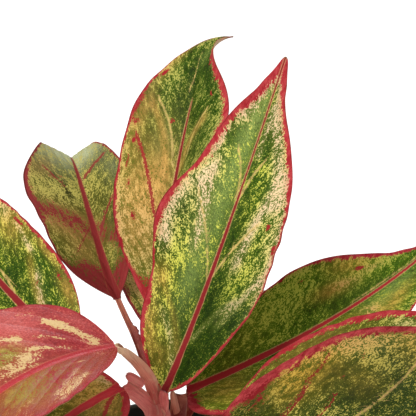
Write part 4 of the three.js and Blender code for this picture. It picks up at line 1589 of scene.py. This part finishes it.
@dataclass
class Stalk:
    """A leaf stalk with its clasping sheath, from the cane to the blade."""

    name: str
    blade: Blade
    sheath: Sheath
    finish: bpy.types.Material
    sheath_depth: float = 3.2
    tip_depth: float = 2.1
    flattest: float = 0.95
    hollow: float = 0.5
    channel: float = 1.2
    channel_half: float = 0.55
    spread: float = 0.12
    gap: float = 0.3
    wall: float = 1.1
    wing: float = 1.6
    closing: Pair = (0.1, 0.06)
    aligned_from: float = 0.9
    easing: int = 7
    tooth: float = 0.35
    split: float = 0.25
    torn_ease: float = 0.02
    pattern_step: float = 11.0
    rings: int = 110
    sides: int = 36

    def path(self, share: np.ndarray) -> tuple[np.ndarray, np.ndarray, np.ndarray]:
        """Return the stalk's line, as its solid has it.

        Args:
            share: Shares of the stalk's length.

        Returns:
            Points, directions and upper sides.
        """
        form = self.blade.form
        along, _, blade_up = (axis[0] for axis in self.blade.axes(np.zeros(1)))
        crown = form.side is None
        z = form.shoot.top + self.gap if crown else SOIL_LEVEL + SOIL_CROWN + form.node
        angle = math.radians(form.heading if crown else form.side)
        outward = np.array([math.cos(angle), math.sin(angle), 0.0])
        clear = 0.0 if crown else form.shoot.radius_at(z) + self.gap + self.sheath_depth * self.hollow
        start = form.shoot.middle(z) + outward * clear
        end = np.array(form.base) - along * self.gap
        reach = np.linalg.norm(end - start)
        leaving = np.array([0.0, 0.0, 1.0]) + outward * (0.0 if crown else self.spread)
        bend = start + unit(leaving) * reach * form.climb
        level = end - unit(unit(end - bend) + along) * reach * form.arrival
        s = share[:, None]
        points = (1 - s) ** 3 * start + 3 * s * (1 - s) ** 2 * bend + 3 * s * s * (1 - s) * level + s**3 * end
        ahead = (1 - s) ** 2 * (bend - start) + 2 * s * (1 - s) * (level - bend) + s * s * (end - level)
        aligned = smooth(s, self.aligned_from, 1.0)
        ahead = unit(unit(ahead) * (1 - aligned) + along * aligned)
        return points, ahead, blade_up * s - outward * (1 - s)

    def half_widths(self, share: np.ndarray) -> np.ndarray:
        """Return the stalk's width, with a slightly ragged sheath.

        Args:
            share: Shares of the stalk's length.

        Returns:
            The half widths, left and right, at each share.
        """
        kernel = np.hanning(self.easing)
        low, high = self.sheath.torn
        ease = self.torn_ease
        torn = smooth(share, low - ease, low + ease) * (1 - smooth(share, high - ease, high + ease))
        sides = []
        for number, pairs in enumerate((self.sheath.left, self.sheath.right)):
            plain = np.interp(share, *np.transpose(pairs))
            padded = np.pad(plain, self.easing // 2, mode="edge")
            eased = np.convolve(padded, kernel / kernel.sum(), mode="valid")
            teeth = self.tooth * np.sin(61 * share + 2 * number)
            splits = self.split * np.sin(143 * share + 5 * number)
            sides.append(eased + (teeth + splits) * torn * number)
        return np.stack(sides, -1)

    def build(self) -> bpy.types.Object:
        """Make the stalk as rings that change from an open sheath to a channelled round stalk.

        Returns:
            The finished piece.
        """
        share = np.linspace(0, 1, self.rings)
        points, ahead, up = self.path(share)
        across = unit(np.cross(ahead, up))
        up = np.cross(across, ahead)
        roll = np.radians(np.interp(share, *np.transpose(self.sheath.turn)))[:, None]
        across, up = across * np.cos(roll) + up * np.sin(roll), up * np.cos(roll) - across * np.sin(roll)
        before, after = self.closing
        open_to = self.sheath.open_to
        sheath = (1 - smooth(share, open_to - before, open_to + after))[:, None]
        halves = self.half_widths(share)
        depth = self.tip_depth + (self.sheath_depth - self.tip_depth) * sheath
        depth = np.minimum(depth, halves.max(1, keepdims=True) * self.flattest)
        angle = round_ring(self.sides, 0.5)[None, :]
        half = np.where(np.cos(angle) > 0, halves[:, :1], halves[:, 1:])
        x = -np.cos(angle) * half
        level = np.sin(angle) * depth
        channel = 1 - self.channel * np.exp(-((x / (self.channel_half * half)) ** 2))
        shell = -np.sin(angle) * (depth - self.wall)
        inner = level * self.hollow * channel * (1 - sheath) + shell * sheath
        wing = (np.abs(x) / half) ** 3 * sheath * self.wing
        lift = np.where(np.sin(angle) > 0, inner, level) + wing
        rings = points[:, None] + across[:, None] * x[..., None] + up[:, None] * lift[..., None]
        length = np.concatenate([[0], np.cumsum(np.linalg.norm(np.diff(points, axis=0), axis=1))])[:, None]
        low, high = self.sheath.torn
        torn = smooth(share, low, low + 0.03) * (1 - smooth(share, high - 0.03, high))
        torn = torn[:, None] * smooth(x / half, 0.55, 0.95)
        draft = Draft()
        draft.rod(rings, {
            "stem": pack(share[:, None], x + pattern_shift(self.name, self.pattern_step), length),
            "sheath": pack(np.abs(x) / half * sheath, torn, 0.0),
        })
        return seat(draft.piece("petiole_" + self.name, self.finish), "stalk", "stalk_" + self.name)


@dataclass
class Lobe:
    """A free, rounded sheath lobe: a thin cupped tongue from its root to its tip, in mm."""

    name: str
    root: Vec3
    tip: Vec3
    facing: Vec3
    finish: bpy.types.Material
    half: float = 2.5
    cup: float = 1.1
    sag: float = 1.2
    widest: float = 0.68
    tip_half: float = 0.08
    wall: float = 0.6
    rows: int = 26
    columns: int = 14

    def build(self) -> bpy.types.Object:
        """Make the tongue, whose root lies inside the stalk that bears it.

        Returns:
            The finished piece.
        """
        share = np.linspace(0, 1, self.rows)[:, None]
        side = np.linspace(-1, 1, self.columns)[None, :]
        root, tip, facing = (np.array(place, dtype=float) for place in (self.root, self.tip, self.facing))
        ahead = tip - root
        run = np.linalg.norm(ahead)
        across = unit(np.cross(ahead, facing))
        front = np.cross(across, ahead) / run
        rounded = np.clip((share - self.widest) / (1 - self.widest), 0, 1)
        width = self.half * np.sqrt(np.clip(1 - rounded**2, 0, 1)) + self.tip_half
        lift = self.cup * (1 - side**2) + self.sag * np.sin(np.pi * share)
        face = root + ahead * share[..., None] + across * (width * side)[..., None] + front * lift[..., None]
        attributes = {
            "stem": pack(0.4 + 0.3 * share, side * self.half, share * run),
            "sheath": pack(np.abs(side) * 0.9, 0.0 * share, 0.0),
        }
        draft = Draft()
        draft.sheet((face, face - front * self.wall), (attributes, attributes))
        return seat(draft.piece("sheath_lobe_" + self.name, self.finish), "stalk")


# ---------------- canes


@dataclass
class Cane:
    """A shoot's short upright stem, ringed with old leaf scars and wrapped in pink sheaths at its top."""

    shoot: Shoot
    bark: bpy.types.Material
    wrap: bpy.types.Material
    wrap_from: float = 0.7
    rings: int = 90
    sides: int = 36
    bedding: float = 14.0
    inset: float = 0.35
    scar_step: float = 6.5
    scar_width: float = 0.09
    scar_height: float = 0.35
    wrap_ease: Pair = (0.02, 0.04)
    wrap_thickness: float = 0.9
    wrap_taper: float = 0.4
    folds: int = 3
    fold_turns: float = 2.0
    pattern_step: float = 9.0

    def build(self) -> bpy.types.Object:
        """Make the cane.

        Returns:
            The finished piece.
        """
        top = self.shoot.top
        heights = np.linspace(SOIL_LEVEL - self.bedding, top, self.rings)
        angle = round_ring(self.sides)[None, :]
        phase = ((heights - SOIL_LEVEL) / self.scar_step)[:, None]
        ridge = self.scar_height * np.exp(-(((phase - np.round(phase)) / self.scar_width) ** 2))
        share = ((heights - SOIL_LEVEL) / (top - SOIL_LEVEL))[:, None]
        before, after = self.wrap_ease
        wrapped = smooth(share, self.wrap_from - before, self.wrap_from + after)
        spiral = (angle * self.folds / (2 * np.pi) + share * self.fold_turns) % 1.0
        layer = self.wrap_thickness * (0.55 + 0.45 * spiral) * wrapped
        layer = layer * (1 - self.wrap_taper * smooth(share, 0.9, 1.0))
        radius = np.array([[self.shoot.radius_at(z)] for z in heights]) - self.inset
        radius = radius + ridge * (1 - wrapped) + layer
        middle = np.stack([self.shoot.middle(z) for z in heights])
        seed = self.pattern_step * list(Shoot).index(self.shoot)
        z = heights[:, None]
        draft = Draft()
        draft.rod(middle[:, None] + pack(np.cos(angle), np.sin(angle), 0.0) * radius[..., None], {
            "bark": pack(angle * 4 + seed, z, phase),
            "stem": pack(0.3, angle * 4 + seed, z),
            "sheath": pack(smooth(spiral, 0.9, 1.0), 0.0, 0.0),
        })
        made = draft.piece("stem_" + self.shoot.word, self.bark)
        made.data.materials.append(self.wrap)
        vertices = made.data.vertices
        lowest = [min(vertices[k].co.z for k in face.vertices) / MM for face in made.data.polygons]
        start = SOIL_LEVEL + (top - SOIL_LEVEL) * self.wrap_from
        made.data.polygons.foreach_set("material_index", [int(low >= start) for low in lowest])
        return seat(made, "cane", "cane_" + self.shoot.word)


@dataclass(frozen=True)
class BarkFinish:
    """The canes' green-brown skin with pale scar rings."""

    green: Shade = (92, 96, 44)
    brown: Shade = (150, 128, 74)
    scar: Shade = (176, 148, 104)

    def material(self) -> bpy.types.Material:
        """Write the bark material.

        Returns:
            The material.
        """
        s = Shader("cane_skin")
        around, height, scar = s.parts("bark")
        rough = s.noise(s.vector(around * 0.8, height * 0.5, 0.0), detail=3.0, rough=0.6)
        colour = s.mix(rough, self.green, self.brown)
        colour = s.mix(scar.off_whole().step(0.16, 0.05) * 0.8, colour, self.scar)
        return s.surface(colour, 0.55 + rough * 0.15, rough, depth=0.3)


# ---------------- pot


@dataclass
class Pot:
    """The round tapered nursery pot with its rolled rim and drain holes."""

    height: float = 120.0
    rim_radius: float = 68.0
    mouth_radius: float = 65.0
    foot_radius: float = 47.0
    wall: float = 2.0
    rim_height: float = 12.0
    floor: float = 3.0
    drain_radius: float = 5.0
    drain_ring: float = 30.0
    drain_count: int = 6
    drain_sides: int = 28
    drill_past: float = 4.0
    sides: int = 144
    sharp_from: float = 38.0

    def outer(self, z: float) -> float:
        """Return the wall's outside radius at a height."""
        return self.foot_radius + (self.mouth_radius - self.foot_radius) * z / self.height

    def profile(self) -> list[Pair]:
        """Work out the pot's half section.

        Returns:
            Its (radius, height) corners, outside up and inside down.
        """
        top, rim, wall, lip = self.height, self.height - self.rim_height, self.wall, self.rim_radius
        # The rounded foot, and the wall with a moulded groove round it.
        points = [(self.foot_radius - 1.6, 0.0), (self.foot_radius - 0.6, 0.15), (self.outer(1) - 0.1, 1.0)]
        points += [(self.outer(z), z) for z in (3, 8, 9.2)]
        points += [(self.outer(z) - 0.35, z) for z in (9.6, 10.4)]
        points += [(self.outer(z), z) for z in (10.8, 40, 70, 96, rim - 2.4)]
        # The rolled rim, and back down the inside.
        points += [(lip - 1.5, rim - 0.5), (lip - 0.75, rim), (lip - 0.6, rim + 1.0), (lip - 0.4, top - 5)]
        points += [(lip - 0.3, top - 4.2), (lip - 0.05, top - 3.6), (lip, top - 1.6)]
        points += [(lip - 0.25, top - 0.6), (lip - 0.9, top - 0.08), (lip - 1.7, top)]
        inner = self.outer(top) - wall
        points += [(inner + 0.9, top - 0.05), (inner + 0.25, top - 0.5), (inner, top - 1.4)]
        points += [(self.outer(z) - wall, z) for z in (110, 80, 40, self.floor + 1.5)]
        points += [(self.outer(self.floor) - wall - 1.2, self.floor)]
        return points

    def drills(self, finish: bpy.types.Material) -> bpy.types.Object:
        """Make the rods that cut the drain holes.

        Args:
            finish: The pot material.

        Returns:
            The rods as one object.
        """
        angle = round_ring(self.drain_sides)
        draft = Draft()
        for turn in round_ring(self.drain_count):
            x = self.drain_ring * math.cos(turn) + self.drain_radius * np.cos(angle)
            y = self.drain_ring * math.sin(turn) + self.drain_radius * np.sin(angle)
            draft.rod(np.stack([pack(x, y, z) for z in (-self.drill_past, self.floor + self.drill_past)]))
        return draft.piece("drain_drills", finish)

    def build(self, finish: bpy.types.Material) -> bpy.types.Object:
        """Make the pot as a turned wall with round drain holes cut through its floor.

        Args:
            finish: The pot material.

        Returns:
            The finished piece.
        """
        angle = round_ring(self.sides)
        radius, z = (column[:, None] for column in np.transpose(self.profile()))
        draft = Draft()
        draft.rod(pack(radius * np.cos(angle), radius * np.sin(angle), z))
        wall = draft.piece("pot_wall", finish)
        drills = self.drills(finish)
        cut = wall.modifiers.new("drain", "BOOLEAN")
        cut.operation = "DIFFERENCE"
        cut.solver = "EXACT"
        cut.object = drills
        made = settled("pot_shell", wall)
        bpy.data.objects.remove(drills)
        made.data.set_sharp_from_angle(angle=math.radians(self.sharp_from))
        return seat(made, "pot", "pot")


@dataclass(frozen=True)
class PotFinish:
    """Black moulded plastic with a faint grain, a little dust and scuffs."""

    black: Shade = (22, 23, 17)
    worn: Shade = (36, 37, 29)
    dust: Shade = (88, 82, 70)

    def material(self) -> bpy.types.Material:
        """Write the pot material.

        Returns:
            The material.
        """
        s = Shader("black_plastic")
        grain = s.noise(s.place(), 900.0, 2.0, 0.6)
        cloud = s.noise(s.place(), 60.0, 3.0, 0.6)
        colour = s.mix(cloud, self.black, self.worn)
        colour = s.mix(s.grains(grain * 0.5 + cloud * 0.5, 0.12) * 0.35, colour, self.dust)
        return s.surface(colour, 0.42 + cloud * 0.16, grain, depth=0.08)


# ---------------- soil


class Tree:
    """A Geometry Nodes tree with named inputs."""

    def __init__(self, name: str, inputs: dict[str, tuple[str, object]]) -> None:
        """Start a tree.

        Args:
            name: The tree's name.
            inputs: Socket type and default by input name.
        """
        self.group = bpy.data.node_groups.new(name, "GeometryNodeTree")
        face = self.group.interface
        face.new_socket("Geometry", in_out="INPUT", socket_type="NodeSocketGeometry")
        for key, (kind, default) in inputs.items():
            face.new_socket(key, in_out="INPUT", socket_type=kind).default_value = default
        face.new_socket("Geometry", in_out="OUTPUT", socket_type="NodeSocketGeometry")
        self.given = self.group.nodes.new("NodeGroupInput").outputs
        self.end = self.group.nodes.new("NodeGroupOutput")

    def node(
        self, kind: str, inputs: dict[int | str, object], settings: dict | None = None, output: int = 0
    ) -> bpy.types.NodeSocket:
        """Add one node.

        Args:
            kind: The node's type.
            inputs: Values or output sockets by input name or number.
            settings: Its own settings, which are set before its sockets.
            output: The output socket to return.

        Returns:
            The chosen output.
        """
        made = self.group.nodes.new(kind)
        for key, value in (settings or {}).items():
            setattr(made, key, value)
        for key, value in inputs.items():
            if isinstance(value, bpy.types.NodeSocket):
                self.group.links.new(value, made.inputs[key])
            else:
                made.inputs[key].default_value = value
        return made.outputs[output]

    def dice(self, low: Vec3, high: Vec3, seed: int) -> bpy.types.NodeSocket:
        """Return a random vector for each instance, between two corners."""
        inputs = {0: low, 1: high, "Seed": seed}
        return self.node("FunctionNodeRandomValue", inputs, {"data_type": "FLOAT_VECTOR"})

    def close(self, geometry: bpy.types.NodeSocket, material: bpy.types.Material) -> None:
        """End the tree in Realize Instances and Set Material.

        Args:
            geometry: What the tree has made.
            material: Its material.
        """
        real = self.node("GeometryNodeRealizeInstances", {0: geometry})
        painted = self.node("GeometryNodeSetMaterial", {"Geometry": real, "Material": material})
        self.group.links.new(painted, self.end.inputs[0])

    def run(self, name: str, host: bpy.types.Object, values: dict[str, object]) -> bpy.types.Object:
        """Run the tree on an object.

        Args:
            name: The new piece's name.
            host: The object that the tree works on, which is removed.
            values: Values by input name.

        Returns:
            The result as a plain mesh object.
        """
        modifier = host.modifiers.new(self.group.name, "NODES")
        modifier.node_group = self.group
        for item in self.group.interface.items_tree:
            if item.item_type == "SOCKET" and item.in_out == "INPUT" and item.name in values:
                modifier[item.identifier] = values[item.name]
        return settled(name, host)


@dataclass
class Soil:
    """The pot's filling of soil: a lumpy bed and the crumbs that lie on it."""

    pot: Pot
    gap: float = 0.3
    lumps: float = 0.9
    lump_span: float = 3.4
    ripple: float = 0.35
    level_edge: float = 0.8
    rings: int = 60
    sides: int = 160
    crumbs_per_m2: float = 420_000.0
    crumb_radii: Pair = (0.35, 1.5)
    bare_rings: int = 2
    seed: int = 11

    def edge(self, z: float) -> float:
        """Return the soil's radius at a height."""
        return self.pot.outer(z) - self.pot.wall - self.gap

    def height(self, x: np.ndarray, y: np.ndarray) -> np.ndarray:
        """Return the lumpy top of the soil.

        Args:
            x: How far right of the pot's middle, in mm.
            y: How far behind it, in mm.

        Returns:
            The soil's height at each place.
        """
        share = np.hypot(x, y) / self.edge(SOIL_LEVEL)
        lump = np.sin(x / self.lump_span + 1) * np.cos((y + x / 2) / self.lump_span)
        fine = np.sin(x * 1.7 + np.sin(y * 0.9)) * np.sin(y * 1.5 + np.cos(x * 1.1))
        inside = 1 - smooth(share, self.level_edge, 1.0)
        return SOIL_LEVEL + SOIL_CROWN * (1 - share**2) + (self.lumps * lump + self.ripple * fine) * inside

    def crumbs(self, cover: bpy.types.Object, finish: bpy.types.Material) -> bpy.types.Object:
        """Scatter crumbs.

        Args:
            cover: The surface that they lie on, which is removed.
            finish: The soil material.

        Returns:
            The crumbs as one piece.
        """
        tree = Tree("soil_crumbs", {
            "Density": ("NodeSocketFloat", 1.0), "Smallest": ("NodeSocketFloat", 0.1),
            "Largest": ("NodeSocketFloat", 1.0), "Seed": ("NodeSocketInt", 0),
        })
        given = tree.given
        points = tree.node("GeometryNodeDistributePointsOnFaces", {
            "Mesh": given["Geometry"], "Density": given["Density"], "Seed": given["Seed"],
        })
        crumb = tree.node("GeometryNodeMeshIcoSphere", {"Radius": 1.0, "Subdivisions": 1})
        sizes = {2: given["Smallest"], 3: given["Largest"], "Seed": 3}
        size = tree.node("FunctionNodeRandomValue", sizes, {"data_type": "FLOAT"}, output=1)
        squash = tree.dice((0.5, 0.5, 0.4), (1.3, 1.1, 0.9), 5)
        scale = tree.node("ShaderNodeVectorMath", {0: squash, "Scale": size}, {"operation": "SCALE"})
        turn = tree.dice((0.0, 0.0, 0.0), (6.28, 6.28, 6.28), 7)
        placed = tree.node("GeometryNodeInstanceOnPoints", {
            "Points": points, "Instance": crumb, "Rotation": turn, "Scale": scale,
        })
        tree.close(placed, finish)
        smallest, largest = self.crumb_radii
        return tree.run("soil_crumbs", cover, {
            "Density": self.crumbs_per_m2, "Smallest": smallest * MM, "Largest": largest * MM,
            "Seed": self.seed,
        })

    def build(self, finish: bpy.types.Material) -> None:
        """Make the bed and its crumbs.

        Args:
            finish: The soil material.
        """
        angle = round_ring(self.sides)
        radii = self.edge(SOIL_LEVEL) * np.linspace(1, 0, self.rings + 1)[:-1]
        x, y = (radii[:, None] * turn[None, :] for turn in (np.cos(angle), np.sin(angle)))
        top = pack(x, y, self.height(x, y))
        bottom = self.pot.floor + self.gap
        low = self.edge(bottom)
        draft = Draft()
        rings = draft.add(np.concatenate([pack(np.cos(angle) * low, np.sin(angle) * low, bottom)[None], top]))
        draft.tube(rings)
        draft.cap(rings[-1], np.array([0, 0, self.height(np.zeros(1), np.zeros(1))[0]]))
        draft.cap(rings[0], np.array([0, 0, bottom]), flip=True)
        bed = draft.piece("soil_bed", finish)
        cover = Draft()
        cover.tube(cover.add(top[self.bare_rings:]))
        crumbs = self.crumbs(cover.piece("soil_cover", finish), finish)
        seat(bed, "soil", "soil")
        seat(crumbs, "soil", "soil")


@dataclass(frozen=True)
class SoilFinish:
    """Dark, crumbly potting soil."""

    dark: Shade = (26, 20, 15)
    brown: Shade = (62, 46, 32)
    fibre: Shade = (96, 74, 52)

    def material(self) -> bpy.types.Material:
        """Write the soil material.

        Returns:
            The material.
        """
        s = Shader("potting_soil")
        coarse = s.noise(s.place(), 260.0, 3.0, 0.6)
        fine = s.noise(s.place(), 1100.0, 2.0, 0.6)
        colour = s.mix(coarse, self.dark, self.brown)
        colour = s.mix(s.grains(fine, 0.16), colour, self.fibre)
        return s.surface(colour, 0.9 + fine * 0.08, coarse * 0.6 + fine * 0.4, depth=0.8, gloss=0.2)


# ---------------- studio


@dataclass
class Studio:
    """Pale floor, soft light and the photo's camera, whose lengths are in mm."""

    tilt: float = 22.0
    distance: float = 800.0
    target: Vec3 = (15.6, 0.0, 270.0)
    photo_width: int = 416
    mm_per_pixel: float = 0.52
    sensor: float = 36.0
    camera_reach: float = 50_000.0
    sky: float = 0.42
    lit_point: float = 220.0
    floor_reach: float = 9000.0
    floor_drop: float = 0.2
    floor_tone: Colour = (0.86, 0.86, 0.85)
    floor_glow: float = 0.45

    def camera(self) -> None:
        """Place the camera."""
        data = bpy.data.cameras.new("photo_camera")
        data.sensor_width = self.sensor
        data.lens = self.sensor * self.distance / (self.photo_width * self.mm_per_pixel)
        data.clip_end = self.camera_reach * MM
        made = shown("photo_camera", data)
        tilt = math.radians(self.tilt)
        forward = np.array([0.0, math.cos(tilt), -math.sin(tilt)])
        made.location = (np.array(self.target) - forward * self.distance) * MM
        made.rotation_euler = (math.pi / 2 - tilt, 0.0, 0.0)
        bpy.context.scene.camera = made

    def lamp(self, name: str, place: Vec3, size: float, power: float, colour: Colour = (1, 1, 1)) -> None:
        """Hang one square soft light that faces the plant.

        Args:
            name: The light's name.
            place: Where it hangs, in metres.
            size: Its side in metres.
            power: Its power in watts.
            colour: Its colour.
        """
        data = bpy.data.lights.new(name, "AREA")
        data.size = size
        data.energy = power
        data.color = colour
        made = shown(name, data)
        made.location = place
        x, y, z = np.array([0.0, 0.0, self.lit_point * MM]) - np.array(place)
        made.rotation_euler = (math.atan2(math.hypot(x, y), -z), 0.0, math.atan2(y, x) - math.pi / 2)

    def floor(self) -> None:
        """Lay the floor."""
        edges = np.array([-self.floor_reach, self.floor_reach])
        draft = Draft()
        draft.skin(draft.add(pack(edges[None, :], edges[:, None], -self.floor_drop)))
        shader = Shader("pale_floor")
        shader.close({
            "Base Color": (*self.floor_tone, 1.0), "Roughness": 0.9, "Specular IOR Level": 0.1,
            "Emission Color": (1.0, 1.0, 1.0, 1.0), "Emission Strength": self.floor_glow,
        })
        draft.piece("floor", shader.material)

    def build(self) -> None:
        """Make the floor, the lights and the camera."""
        world = bpy.data.worlds.new("soft_sky")
        world.use_nodes = True
        sky = world.node_tree.nodes["Background"].inputs
        sky["Color"].default_value = (1.0, 1.0, 1.0, 1.0)
        sky["Strength"].default_value = self.sky
        bpy.context.scene.world = world
        self.floor()
        self.lamp("key", (-1.3, -1.2, 1.9), 0.9, 50.0, (1.0, 0.98, 0.95))
        self.lamp("fill", (1.6, -1.2, 1.2), 1.4, 6.0)
        self.lamp("back", (0.2, 1.4, 2.4), 1.4, 16.0)
        self.camera()
        view = bpy.context.scene.view_settings
        view.view_transform = "Standard"
        view.look = "None"


def main() -> None:
    """Build every piece of the plant and its studio."""
    logging.basicConfig(level=logging.INFO, format="%(name)s: %(message)s")
    skins = {finish.name: finish.material() for finish in LEAF_FINISHES}
    stalks = {finish.name: finish.material() for finish in STALK_FINISHES}
    for name, form in FORMS.items():
        look = LOOKS[name]
        slot = "red_blade" if look.finish is CRIMSON else "green_blade"
        blade = Blade(name, form, look, skins[look.finish.name], slot)
        blade.build()
        sheath = SHEATHS.get(name, Sheath())
        Stalk(name, blade, sheath, stalks[sheath.finish.name]).build()
    rose, tan = stalks[ROSE_STALK.name], stalks[TAN_STALK.name]
    Lobe("low_front_left", (-19.5, -13.5, 173.5), (-27.3, -24.0, 185.2), (0.3, -1.0, 0.5), rose).build()
    Lobe("right_back", (-1.5, 11.5, 141.0), (-4.2, 8.6, 157.4), (0.0, -1.0, 0.4), tan, 1.9, cup=0.6).build()
    bark = BarkFinish().material()
    for shoot in Shoot:
        Cane(shoot, bark, rose, wrap_from=0.45 if shoot is Shoot.MAIN else 0.7).build()
    pot = Pot()
    Soil(pot).build(SoilFinish().material())
    pot.build(PotFinish().material())
    Studio().build()


if __name__ == "__main__":
    main()
